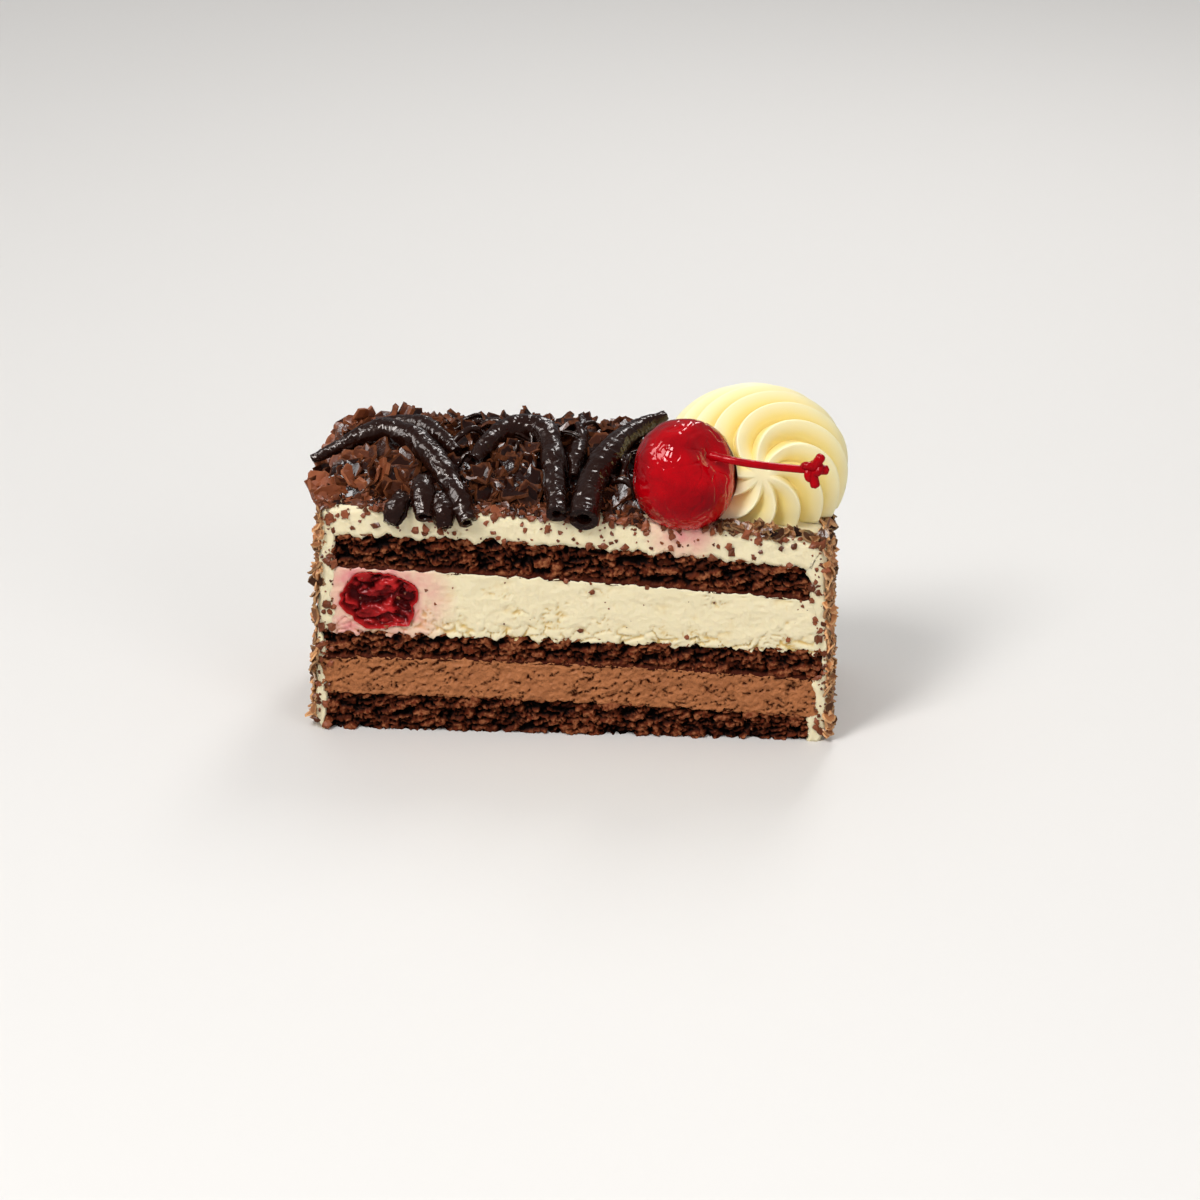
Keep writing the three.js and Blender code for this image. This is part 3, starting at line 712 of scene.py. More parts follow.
class CAKE_OT_layers(Operator):
    """Cut the three sponges, the mousse and the cream filling"""

    bl_idname = "cake.layers"
    bl_label = "Layers"

    def execute(self, context):
        sizes, colours = context.scene.cake_sizes, context.scene.cake_colours
        cream = cream_surface(
            "Cream filling", colours, stain_from=INNER_CHERRY["middle"], stain_reach=(9.0, 17.5))
        dressed = {
            "sponge": (sponge_surface(colours), "sponge"),
            "mousse": (mousse_surface(colours), "mousse"),
            "filling": (cream, "cream"),
        }
        for name in LAYERS:
            material, slot = dressed[kind_of(name)]
            piece = layer_piece(name, sizes.cut_step / MM, sizes.crumb_depth / MM)
            settle(piece, slot, name, material=material)
        return {"FINISHED"}


# The cherry in the filling

def flesh_relief(x, z):
    """How far in the torn flesh is at a place: bulging lobes with folds between them."""
    lobe = waves(x / 6.0, 2.0, z / 4.0, 3)
    _, _, border = cell_at(x / 6.4 + 0.9 * lobe, 6.3, z / 3.4 + 0.8 * lobe)
    fold = 1 - smooth(0.0, 0.4, border)
    fibre = waves(x / 1.6, 4.0, z / 0.8, 2)
    return 0.5 + 1.3 * lobe + 1.6 * fold + 0.35 * fibre


def flesh_piece():
    """A cut cherry: a torn face level with the cut of the filling, and half a ball behind it."""
    middle, half = INNER_CHERRY["middle"], INNER_CHERRY["half"]
    around, up = 120, 70
    points, pits = [], []
    for turn, fall in ball_turns(around, up):
        out = inner_cherry_rim(turn) * math.sin(fall)
        x = middle[0] + half[0] * out * math.cos(turn)
        z = middle[2] + half[2] * out * math.sin(turn)
        on_face = fall < math.pi * (0.5 - 0.1 / up)
        cut = flesh_relief(x, z) * smooth(1.0, 0.86, math.sin(fall)) if on_face else 0.0
        y = FRONT - 0.1 + cut if on_face else FRONT - half[1] * math.cos(fall)
        points.append((x, y, z))
        pits.append(clamp(0.2 + cut / 3.0))
    return new_piece("filling_cherry_flesh", points, ring_faces(up + 1, around), pit=pits)


def flesh_surface(colours):
    """Torn preserved cherry: wet dark red flesh, with painted shade nearly black in its hollows and darker
    random fibres.
    """
    material, tree, shader = new_surface(
        "Cherry flesh", Roughness=0.2, Specular_IOR_Level=0.4, Specular_Tint=(1.0, 0.5, 0.5, 1.0),
        Coat_Weight=0.1)
    place = put(tree, COORDS, out="Object")
    pit = put(tree, ATTRIBUTE, out="Fac", attribute_name="pit")
    fibre = put(tree, NOISE, {"Vector": place, "Scale": per_mm(1.4), "Detail": 4.0})
    # Darker with the depth of the hollows (painted shade) and with the fibre noise
    shade = put(tree, MATH, (fibre, 0.5, pit), operation="MULTIPLY_ADD")
    base = layered(tree, colours.flesh, (shade, 0.45, 1.1, colours.flesh_hollow_shade))
    bump = put(tree, BUMP, {"Strength": 0.5, "Distance": 0.5 * MM, "Height": fibre})
    feed(tree, shader, {"Base Color": base, "Normal": bump})
    return material


class CAKE_OT_filling_cherry(Operator):
    """Set the cut cherry into the filling"""

    bl_idname = "cake.filling_cherry"
    bl_label = "Cherry in the filling"

    def execute(self, context):
        flesh = flesh_surface(context.scene.cake_colours)
        settle(flesh_piece(), "cherry_flesh", "filling_cherry", material=flesh)
        return {"FINISHED"}


# The coat

def wall_at(side, z, x):
    """How thick the cream outside the layers is at a height, on the left (0) or the right (1)."""
    for name, (_, walls) in LAYERS.items():
        if z < height_at(TOPS[name], x):
            return walls[side]
    return LAYERS["sponge_top"][1][side]


def shoulder_point(side, share):
    """A point on the round shoulder of an end, from the wall (0) to the top (1), seen from the front."""
    tall = coat_top(end_at(side, LEAN_OVER))
    wall = Vector((end_at(side, tall - SHOULDER), tall - SHOULDER))
    corner = Vector((end_at(side, tall), tall))
    x = corner[0] + inward(side) * SHOULDER
    top = Vector((x, coat_top(x)))
    return (1 - share) ** 2 * wall + 2 * share * (1 - share) * corner + share**2 * top


def outer_end(side):
    """The outside of the coat at one end seen from the front, from its foot to its top."""
    tall = coat_top(end_at(side, LEAN_OVER)) - SHOULDER
    line = []
    for n in range(COAT_STEPS["wall"]):
        z = tall * n / COAT_STEPS["wall"]
        line.append((end_at(side, z) + inward(side) * foot_tuck(z), z))
    return line + [shoulder_point(side, n / COAT_STEPS["shoulder"]) for n in range(COAT_STEPS["shoulder"])]


def sponge_corner(side):
    """Where the upper corner of the top sponge is along the slice, on the left (0) or the right (1)."""
    return end_at(side, TOPS["sponge_top"][2 * side]) + inward(side) * LAYERS["sponge_top"][1][side]


def inner_end(side, count):
    """The inside of the coat at one end seen from the front, from its foot to the top sponge's corner."""
    corner = sponge_corner(side)
    line = []
    for n in range(count):
        z = height_at(TOPS["sponge_top"], corner) * n / count
        line.append((end_at(side, z) + inward(side) * wall_at(side, z, corner), z))
    return line


def level_line(tops, start, stop, count):
    """Points along the top of a layer seen from the front, from one place along the slice to another."""
    places = [mix(start, stop, share) for share in shares(count)]
    return [(x, height_at(tops, x)) for x in places]


def coat_lines(side_steps):
    """The coat's outer and inner lines seen from the front, with as many points each, from left to right."""
    start, stop = (shoulder_point(side, 1.0)[0] for side in (0, 1))
    top = level_line(TOPS["coat"], start, stop, COAT_STEPS["top"])
    outer = outer_end(0) + top + outer_end(1)[::-1]
    across = len(outer) - 2 * side_steps
    under = level_line(TOPS["sponge_top"], sponge_corner(0), sponge_corner(1), across)
    inner = inner_end(0, side_steps) + under + inner_end(1, side_steps)[::-1]
    return outer, inner


def coat_cut(inner, outer, way):
    """Points over the coat's front (-1) or back (1) cut from its inside out, each with how far in it is."""
    seed = COAT_SEED if way < 0 else COAT_SEED + BACK_SEED
    row = []
    for share in shares(COAT_STEPS["cut"]):
        x, z = mix(inner[0], outer[0], share), mix(inner[1], outer[1], share)
        cut = 0.5 * cream_relief(x, z, seed, rise=0.7, depth=0.9)
        edge = CUT_EDGE * smooth(0.7, 1.0, share) ** 2 + 0.5 * (1 - smooth(0.0, 0.12, share))
        row.append(((x, way * (DEPTH / 2 - cut - edge), z), cut))
    return row


def coat_ring(inner, outer):
    """One ring of the coat: up its front cut, over its outside, down its back cut, and along its inside."""
    x, z = outer
    ring = coat_cut(inner, outer, -1)
    for n in range(COAT_STEPS["deep"]):
        y = mix(FRONT + CUT_EDGE, BACK - CUT_EDGE, (n + 0.5) / COAT_STEPS["deep"])
        smear = 0.35 * waves(x / 7.0, y / 7.0, 4.0, 2) * smooth(2, 8, z)
        ring.append(((x, y, z + smear), 0.0))
    ring += reversed(coat_cut(inner, outer, 1))
    return ring + [((inner[0], y, inner[1]), 0.0) for y in (BACK - 2, FRONT + 2)]


def coat_piece():
    """The coat as one arch of cream, with a ragged border where it meets the layers."""
    side_steps = COAT_STEPS["wall"] + COAT_STEPS["shoulder"] // 2
    outer, inner = coat_lines(side_steps)
    points, pits = [], []
    for n, (outside, (x, z)) in enumerate(zip(outer, inner)):
        rag = waves(n / 9.0, 1.0, 2.0, 4)
        lap = WALL_LAP * (0.1 + 1.4 * rag)
        if n < side_steps:
            x += lap
        elif n >= len(outer) - side_steps:
            x -= lap
        else:
            z -= 0.4 + 1.5 * rag
        for (px, py, pz), cut in coat_ring((x, z), outside):
            points.append((px, py, max(pz, 0.0)))
            pits.append(clamp(cut / 1.2))
    faces = ring_faces(len(outer), len(points) // len(outer), capped=True)
    return new_piece("coat_cream", points, faces, pit=pits)


class CAKE_OT_coat(Operator):
    """Spread the cream coat over the top and the two ends"""

    bl_idname = "cake.coat"
    bl_label = "Cream coat"

    def execute(self, context):
        x, y, _ = CHERRY["middle"]
        colours = context.scene.cake_colours
        cream = cream_surface(
            "Cream coat", colours, stain_from=(x, y - 2, coat_top(x)), stain_reach=(4.0, 10.0))
        settle(coat_piece(), "cream", "cream_coat", material=cream)
        return {"FINISHED"}


# The shavings

def flake(kind, draw):
    """One broken shard of chocolate, one unit long, bent, twisted and cupped, with its border marked."""
    long, wide = 5, 4
    bend = draw.uniform(0.15, 1.0)
    twist = draw.uniform(-0.6, 0.6)
    cup = draw.uniform(-0.12, 0.12)
    thick = draw.uniform(0.11, 0.2)
    broad = draw.uniform(0.26, 0.5)
    pointed = draw.uniform(0.3, 1.0)
    outline = [(draw.uniform(-0.1, 0.1), draw.uniform(-0.26, 0.26)) for _ in range(long * wide)]
    points, rims = [], []
    for side in (1, -1):
        for n, (shift, sway) in enumerate(outline):
            i, j = divmod(n, wide)
            at_tip = i in (0, long - 1)
            border = at_tip or j in (0, wide - 1)
            along = i / (long - 1)
            turn = bend * (along - 0.5 + shift)
            across = 2 * j / (wide - 1) - 1 + sway
            y = broad * (0.6 if at_tip else 1.0) * mix(1, pointed, along) * across
            arm = 1 / bend - side * thick / 2 * (0.7 if border else 1.0) - cup * across**2
            point = Vector((math.sin(turn) * arm, y, 1 / bend - math.cos(turn) * arm))
            point.rotate(Matrix.Rotation(twist * turn / bend, 3, "X"))
            points.append(point)
            rims.append(float(border))
    return loose_shape(f"flake_{kind}", points, sheet_faces(long, wide), rims)


def crumb(kind, draw):
    """One lump of cake or chocolate dust, one unit across."""
    around, up = 6, 4
    points = []
    for turn, fall in ball_turns(around, up):
        at_pole = math.sin(fall) < 0.01
        r = 0.35 if at_pole else 0.5 * draw.uniform(0.45, 1.25)
        out = r * math.sin(fall)
        points.append((out * math.cos(turn), 0.8 * out * math.sin(turn), 0.6 * r * math.cos(fall)))
    return loose_shape(f"crumb_{kind}", points, ring_faces(up + 1, around), [0.3] * len(points))


def loose_shape(name, points, faces, rims):
    """A small shape to be repeated, one unit in size, kept out of the scene."""
    mesh = bpy.data.meshes.new(name)
    mesh.from_pydata(points, [], faces)
    mesh.attributes.new("rim", "FLOAT", "POINT").data.foreach_set("value", rims)
    mesh.validate()
    return bpy.data.objects.new(name, mesh)


def shape_set(name, make, count, seed):
    """A collection of a few unlike loose shapes."""
    shapes = bpy.data.collections.new(name)
    draw = random.Random(seed)
    for kind in range(count):
        shapes.objects.link(make(kind, draw))
    return shapes


def strewing_tree():
    """Sets one shape of a collection on each point, by the point's facing and size, leaning at random."""
    tree, given = new_tree("Strewing", Shapes="NodeSocketCollection", Lean="NodeSocketFloat",
                           Seed="NodeSocketInt", Material="NodeSocketMaterial")
    points = put(tree, "GeometryNodeMeshToPoints", [given["Geometry"]])
    facing = put(tree, "GeometryNodeInputNamedAttribute", ["facing"], data_type="FLOAT_VECTOR")
    size = put(tree, "GeometryNodeInputNamedAttribute", ["size"], data_type="FLOAT")
    upright = put(tree, "FunctionNodeAlignRotationToVector", {"Vector": facing}, axis="Z")
    back = put(tree, MATH, (given["Lean"], -1.0), operation="MULTIPLY")
    least = put(tree, COMBINE, (back, back, -math.pi))
    most = put(tree, COMBINE, (given["Lean"], given["Lean"], math.pi))
    lean = put(tree, "FunctionNodeRandomValue", {0: least, 1: most, "Seed": given["Seed"]},
               data_type="FLOAT_VECTOR")
    lean_turn = put(tree, "FunctionNodeEulerToRotation", [lean])
    turn = put(tree, "FunctionNodeRotateRotation", (upright, lean_turn), rotation_space="LOCAL")
    shapes = put(tree, "GeometryNodeCollectionInfo", {
        "Collection": given["Shapes"], "Separate Children": True, "Reset Children": True})
    pick = put(tree, "FunctionNodeRandomValue", {4: 0, 5: 99, "Seed": given["Seed"]}, out=2,
               data_type="INT")
    strewn = put(tree, "GeometryNodeInstanceOnPoints", {
        "Points": points, "Instance": shapes, "Pick Instance": True, "Instance Index": pick,
        "Rotation": turn, "Scale": size})
    return close_tree(tree, strewn, given["Material"])


def strew(name, spots, shapes, lean, seed, material):
    """One piece of many loose shapes, each at a spot of (place, facing, size, tint)."""
    places, ways, sizes, tints = zip(*spots)
    source = new_piece(name + "_spots", places, [], tint=tints, size=[size * MM for size in sizes])
    facing = source.data.attributes.new("facing", "FLOAT_VECTOR", "POINT")
    facing.data.foreach_set("vector", [c for way in ways for c in way])
    tree = bpy.data.node_groups.get("Strewing") or strewing_tree()
    piece = from_tree(source, name, tree, Shapes=shapes, Lean=lean, Seed=seed, Material=material)
    for shape in list(shapes.objects):
        bpy.data.objects.remove(shape)
    bpy.data.collections.remove(shapes)
    return piece


def shaving_surface(name, colours, light, edge):
    """Scraped chocolate: satin on the scraped side, with thin paler edges where it broke."""
    material, tree, shader = new_surface(name, Specular_IOR_Level=0.4)
    place = put(tree, COORDS, out="Object")
    tint = put(tree, ATTRIBUTE, out="Fac", attribute_name="tint")
    rim = put(tree, ATTRIBUTE, out="Fac", attribute_name="rim")
    grain = put(tree, NOISE, {"Vector": place, "Scale": per_mm(1.4), "Detail": 3.0})
    dust = put(tree, MATH, (grain, 0.7, rim), operation="MULTIPLY_ADD")
    pale = put(tree, RANGE, (tint, 0.0, 1.0, 0.35, 0.85))
    broken = put(tree, RANGE, (dust, 1.1, 1.45, 0.0, pale))
    base = layered(tree, colours.flake_dark, (tint, 0.0, 1.0, light), (broken, 0.0, 1.0, edge))
    gloss = put(tree, RANGE, (tint, 0.0, 1.0, 0.16, 0.5))
    bump = put(tree, BUMP, {"Strength": 0.35, "Distance": 0.4 * MM, "Height": grain})
    feed(tree, shader, {"Base Color": base, "Roughness": gloss, "Normal": bump})
    return material


# The heap

def heap_height(x, y):
    """How far the even form of the heap stands over the cream."""
    reach = HEAP["ridge"] - HEAP["front"] if y < HEAP["ridge"] else HEAP["back"] - HEAP["ridge"]
    across = 1 - min(1, abs(y - HEAP["ridge"]) / reach) ** HEAP_FORM["round"]
    along = clamp(min(x - HEAP["left"], HEAP["right"] - x) / HEAP_FORM["slope"])
    tall = mix(*HEAP_TALL, clamp((x - HEAP["left"]) / (HEAP["right"] - HEAP["left"])))
    return max(HEAP_FORM["rim"], tall * across * math.sqrt(along))


def core_height(x, y):
    """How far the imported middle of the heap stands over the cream, with ragged front and left edges."""
    ragged = HEAP["front"] + 3 + 2.5 * waves(x / 5.0, 3.0, 1.0, 3)
    lump = 0.9 * waves(x / 3.0, y / 3.0, 8.0, 3)
    inside = smooth(ragged - 1.5, ragged + 1.5, y) * smooth(HEAP["left"] - 0.5, HEAP["left"] + 4, x)
    return max(0.0, heap_height(x, y) - 1.2 + lump) * inside


def heap_core():
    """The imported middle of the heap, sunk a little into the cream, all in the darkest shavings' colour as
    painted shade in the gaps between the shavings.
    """
    columns, rows = 130, 76
    points = []
    for layer in (1, 0):
        for i in range(columns + 1):
            for j in range(rows + 1):
                x = mix(HEAP["left"], HEAP["right"], i / columns)
                y = mix(HEAP["front"], HEAP["back"], j / rows)
                points.append((x, y, coat_top(x) - 0.6 + layer * (0.2 + core_height(x, y) * 1.05)))
    # No tint and no rim: the darkest colour, painted shade between the shavings
    darkest_for_shade = [0.0] * len(points)
    return new_piece("heap_core", points, sheet_faces(columns + 1, rows + 1), tint=darkest_for_shade, rim=darkest_for_shade)


def topping_balls():
    """Balls of (middle, radius) that fill the curls and the cherry."""
    balls = [(Vector(CHERRY["middle"]), CHERRY["tall"])]
    for path, radius, _ in CURLS.values():
        balls += [(point, 0.8 * radius) for point in smooth_line(path, 6 * len(path))]
    return balls


def clear_of_toppings(spot, room, balls):
    """Whether a spot is clear of the curls, the cherry and the rosette."""
    away = (abs(c - b) / (h + room) for c, b, h in zip(spot, ROSETTE["base"], ROSETTE["half"]))
    if math.hypot(*away) < 0.97:
        return False
    return all((spot - middle).length >= radius + room for middle, radius in balls)


def heap_spots(count, longest):
    """Spots over the heap, kind by kind and clear of what lies on it, paler towards its left end."""
    draw = random.Random(31)
    balls = topping_balls()
    spots = []
    for share, sizes, depths, lift, upright, pale in HEAP_KINDS.values():
        wanted = len(spots) + round(share * count)
        while len(spots) < wanted:
            size = longest * draw.uniform(*sizes)
            x = draw.uniform(HEAP["left"] - 1.2, HEAP["right"] - 1)
            y = draw.uniform(*depths)
            way = Vector((draw.uniform(-0.5, 0.5), (y - HEAP["ridge"]) / 24, upright)).normalized()
            z = coat_top(x) + core_height(x, y) + draw.uniform(0, lift) * size
            if clear_of_toppings(Vector((x, y, z)), 0.36 * size, balls):
                left = clamp(1.0 - (x - HEAP["left"]) / 24)
                tint = clamp(draw.uniform(-0.2, 0.15) + 1.15 * max(pale, left) * draw.random() ** 1.8)
                spots.append(((x, y, z), way, size, tint))
    return spots


class CAKE_OT_heap(Operator):
    """Heap the chocolate shavings on the cream"""

    bl_idname = "cake.heap"
    bl_label = "Heap of shavings"

    def execute(self, context):
        sizes, colours = context.scene.cake_sizes, context.scene.cake_colours
        chocolate = shaving_surface(
            "Scraped dark chocolate", colours, light=colours.flake_light, edge=colours.flake_edge)
        spots = heap_spots(sizes.heap_flakes, sizes.flake_length / MM)
        flakes = shape_set("Heap flakes", flake, 12, seed=3)
        piece = strew("heap_shavings", spots, flakes, lean=0.6, seed=4, material=chocolate)
        settle(piece, "shavings", "shavings")
        # The core under the shavings is at the darkest tint: painted shade in the gaps
        settle(heap_core(), "shavings", material=chocolate)
        return {"FINISHED"}


# Shavings and crumbs on the coat

def end_spots(count, longest):
    """Spots over the two ends of the coat, and on the cream before the rosette."""
    draw = random.Random(17)
    spots = []
    for side in (0, 1):
        way = -inward(side)
        top = coat_top(end_at(side, LEAN_OVER))
        for n in range(count):
            size = longest * draw.uniform(0.3, 1.0)
            z = draw.uniform(0.3 + 0.45 * size, top - 0.4)
            at_edge = n % EDGE_EVERY == 0
            y = draw.uniform(FRONT - 0.2, FRONT + 2.0) if at_edge else draw.uniform(FRONT + 0.2, BACK - 0.2)
            tuck = foot_tuck(z) + 0.5 * SHOULDER * smooth(top - SHOULDER, top, z) ** 2
            x = end_at(side, z) + way * (0.08 * size - tuck)
            tint = draw.uniform(0.35, 1.0) if draw.random() < 0.65 else draw.uniform(0, 0.3)
            spots.append(((x, y, z), (way, -0.5 * at_edge, 0.25), size, tint))
    for _ in range(count // 10):
        x = draw.uniform(CHERRY["middle"][0] + 8, ENDS[1] - 2)
        y = draw.uniform(FRONT + 0.6, FRONT + 4)
        size = longest * draw.uniform(0.2, 0.9)
        spots.append(((x, y, coat_top(x) + 0.15 * size), (0, -0.4, 1), size, draw.uniform(0, 0.5)))
    return spots


class CAKE_OT_end_shavings(Operator):
    """Press shavings into the two ends of the coat"""

    bl_idname = "cake.end_shavings"
    bl_label = "Shavings on the ends"

    def execute(self, context):
        sizes, colours = context.scene.cake_sizes, context.scene.cake_colours
        spots = end_spots(sizes.end_flakes, sizes.end_flake_length / MM)
        caramel = shaving_surface(
            "Scraped milk chocolate", colours, light=colours.caramel, edge=colours.caramel_edge)
        flakes = shape_set("End flakes", flake, 6, seed=8)
        piece = strew("end_shavings", spots, flakes, lean=0.7, seed=6, material=caramel)
        settle(piece, "shavings")
        return {"FINISHED"}


def crumb_spots(count):
    """Spots for crumbs on the cream of the cut faces and along the front of the top, in drifts."""
    draw = random.Random(29)
    spots = []
    while len(spots) < count:
        x = draw.uniform(ENDS[0] + 3, ENDS[1] - 2)
        size = 0.6 + 2.4 * draw.random() ** 2.2
        tint = draw.uniform(0.3, 1.0)
        kind = draw.randrange(len(CRUMB_PLACES))
        face, way = (FRONT + 0.1, -1) if draw.random() < 0.7 else (BACK - 0.1, 1)
        if noise.noise(Vector((x / 4.0, kind, 7.0))) + draw.uniform(-0.5, 0.5) < -0.05:
            continue
        if CRUMB_PLACES[kind] == "coat cut":
            z = mix(height_at(TOPS["sponge_top"], x), coat_top(x), 1 - draw.random() ** 1.7)
            spots.append(((x, face, z), (0, way, 0), size, tint))
        elif CRUMB_PLACES[kind] == "top":
            y = draw.uniform(FRONT + 0.5, HEAP["front"] + 2)
            spots.append(((x, y, coat_top(x) + 0.1), (0, 0, 1), size, tint))
        elif CRUMB_PLACES[kind] == "filling" and draw.random() < 0.5:
            drop = draw.random() ** 2.5
            z = mix(height_at(TOPS["filling"], x), height_at(TOPS["sponge_middle"], x), drop)
            spots.append(((x, face - 0.2 * way, z), (0, way, 0), 0.6 * size, tint))
        else:
            side = draw.randrange(2)
            z = draw.uniform(1, coat_top(ENDS[side]) - 2)
            x = end_at(side, z) + draw.uniform(0.2, 3.4) * inward(side)
            spots.append(((x, face, z), (0, way, 0), size, tint))
    return spots


class CAKE_OT_crumbs(Operator):
    """Dust the cream of the cut faces and the front of the top with crumbs"""

    bl_idname = "cake.crumbs"
    bl_label = "Crumbs"

    def execute(self, context):
        sizes, colours = context.scene.cake_sizes, context.scene.cake_colours
        dust = shaving_surface(
            "Cocoa crumbs", colours, light=colours.flake_light, edge=colours.flake_edge)
        crumbs = shape_set("Crumbs", crumb, 6, seed=12)
        spots = crumb_spots(sizes.crumbs)
        piece = strew("coat_crumbs", spots, crumbs, lean=0.5, seed=9, material=dust)
        settle(piece, "shavings")
        return {"FINISHED"}


# The curls

def roll_section(tree, sides):
    """The open ring of a roll, one unit in radius: round along its outside and back along its inside."""
    ring = put(tree, "GeometryNodeCurvePrimitiveCircle", {"Resolution": sides, "Radius": 1.0})
    share = put(tree, "GeometryNodeSplineParameter")
    inner = put(tree, MATH, (share, 0.5), operation="GREATER_THAN")
    there_and_back = put(tree, MATH, (share, 0.5), operation="PINGPONG")
    turn = put(tree, RANGE, (there_and_back, 0.0, 0.5, -CURL_REACH, CURL_REACH))
    radius = put(tree, RANGE, (inner, 0.0, 1.0, 1.0, 1.0 - CURL_WALL))
    cosine = put(tree, MATH, [turn], operation="COSINE")
    sine = put(tree, MATH, [turn], operation="SINE")
    unit = put(tree, COMBINE, (cosine, sine))
    section = put(tree, VECTOR, {0: unit, "Scale": radius}, operation="SCALE")
    return put(tree, "GeometryNodeSetPosition", {"Geometry": ring, "Position": section})


def curl_tree():
    """Rolls a wrinkled, open curl of chocolate along a curve, as thick as the curve's radius."""
    tree, given = new_tree("Rolled curl", Sides="NodeSocketInt", Wrinkle="NodeSocketFloat",
                           Material="NodeSocketMaterial")
    thick = put(tree, "GeometryNodeInputRadius")
    roll = put(tree, "GeometryNodeCurveToMesh", {
        "Curve": given["Geometry"], "Profile Curve": roll_section(tree, given["Sides"]), "Scale": thick,
        "Fill Caps": True})
    fine = put(tree, NOISE, {"Scale": per_mm(3.0), "Detail": 2.0, "Distortion": 1.2})
    lump = put(tree, NOISE, {"Scale": per_mm(6.0), "Detail": 1.0})
    crinkle = put(tree, NOISE, {"Scale": per_mm(1.5), "Detail": 1.0, "Distortion": 1.5})
    both = put(tree, MATH, (lump, 1.6, fine), operation="MULTIPLY_ADD")
    all_three = put(tree, MATH, (crinkle, 0.7, both), operation="MULTIPLY_ADD")
    level = put(tree, MATH, (all_three, -1.6), operation="ADD")
    push = put(tree, MATH, (level, given["Wrinkle"]), operation="MULTIPLY")
    normal = put(tree, "GeometryNodeInputNormal")
    offset = put(tree, VECTOR, {0: normal, "Scale": push}, operation="SCALE")
    wrinkled = put(tree, "GeometryNodeSetPosition", {"Geometry": roll, "Offset": offset})
    rounded = put(tree, "GeometryNodeSetShadeSmooth", [wrinkled])
    return close_tree(tree, rounded, given["Material"])


def curl_surface(colours):
    """Rolled dark chocolate: very dark brown and glossy, with a crinkled skin that breaks up the light."""
    material, tree, shader = new_surface(
        "Rolled dark chocolate", Base_Color=colours.chocolate, Specular_IOR_Level=0.32,
        Specular_Tint=(1.0, 0.82, 0.72, 1.0), Coat_Weight=0.5, Coat_Roughness=0.07)
    place = put(tree, COORDS, out="Object")
    fine = put(tree, NOISE, {"Vector": place, "Scale": per_mm(2.6), "Detail": 0.6, "Distortion": 1.4})
    patch = put(tree, NOISE, {"Vector": place, "Scale": per_mm(4.0), "Detail": 2.0})
    gloss = put(tree, RANGE, (patch, 0.35, 0.65, 0.2, 0.34))
    bump = put(tree, BUMP, {"Strength": 0.75, "Distance": 0.6 * MM, "Height": fine})
    feed(tree, shader, {"Roughness": gloss, "Normal": bump, "Coat Normal": bump})
    return material


def curl_line(name, lines):
    """A curve object of one or more lines, each a list of (place, radius)."""
    curve = bpy.data.curves.new(name, "CURVE")
    curve.dimensions = "3D"
    for line in lines:
        spline = curve.splines.new("POLY")
        spline.points.add(len(line) - 1)
        for point, (place, radius) in zip(spline.points, line):
            point.co = (*(place * MM), 1)
            point.radius = radius * MM
    return linked(name, curve)


def rolled_line(path, radius, ends):
    """The places and radii along one curl, uneven and drawn in towards its ends."""
    count = CURL_STEPS * len(path)
    line = []
    for share, place in zip(shares(count), smooth_line(path, count)):
        if share < 0.5:
            taper = mix(ends[0], 1, smooth(0, 0.5, share))
        else:
            taper = mix(1, 0.8 * ends[1], 2 * share - 1)
        uneven = 1 + 0.16 * noise.noise(place / 5)
        line.append((place, CURL_SPREAD * radius * taper * uneven))
    return line


def strand_lines(count):
    """Thin melted strands that arch from shard to shard over the middle of the heap."""
    draw = random.Random(5)
    lines = []
    for _ in range(count):
        x, y = (draw.uniform(*span) for span in STRAND_FIELD)
        turn = draw.uniform(0, 2 * math.pi)
        reach = draw.uniform(3, 6)
        path = []
        for off in (-1, -0.4, 0.4, 1):
            px, py = x + off * reach * math.cos(turn), y + off * reach * math.sin(turn)
            arch = 2.6 * (1 - off * off) + draw.uniform(0, 1)
            path.append((px, py, coat_top(px) + core_height(px, py) + arch))
        radius = draw.uniform(0.45, 0.9)
        line = []
        for share, place in zip(shares(STRAND_STEPS), smooth_line(path, STRAND_STEPS)):
            line.append((place, radius * (1 - 0.6 * abs(2 * share - 1) ** 3)))
        lines.append(line)
    return lines


class CAKE_OT_curls(Operator):
    """Lay the rolled chocolate curls and thin melted strands over the heap"""

    bl_idname = "cake.curls"
    bl_label = "Chocolate curls"

    def execute(self, context):
        sizes = context.scene.cake_sizes
        wrinkle = sizes.wrinkle_depth
        chocolate = curl_surface(context.scene.cake_colours)
        tree = curl_tree()
        for name, (path, radius, ends) in CURLS.items():
            source = curl_line(name + "_line", [rolled_line(path, radius, ends)])
            piece = from_tree(
                source, name + "_roll", tree, Sides=CURL_SIDES, Wrinkle=wrinkle, Material=chocolate)
            settle(piece, "dark_chocolate", name)
        source = curl_line("strand_lines", strand_lines(sizes.strands))
        piece = from_tree(
            source, "heap_strands", tree, Sides=STRAND_SIDES, Wrinkle=0.4 * wrinkle, Material=chocolate)
        settle(piece, "dark_chocolate")
        return {"FINISHED"}


# The rosette

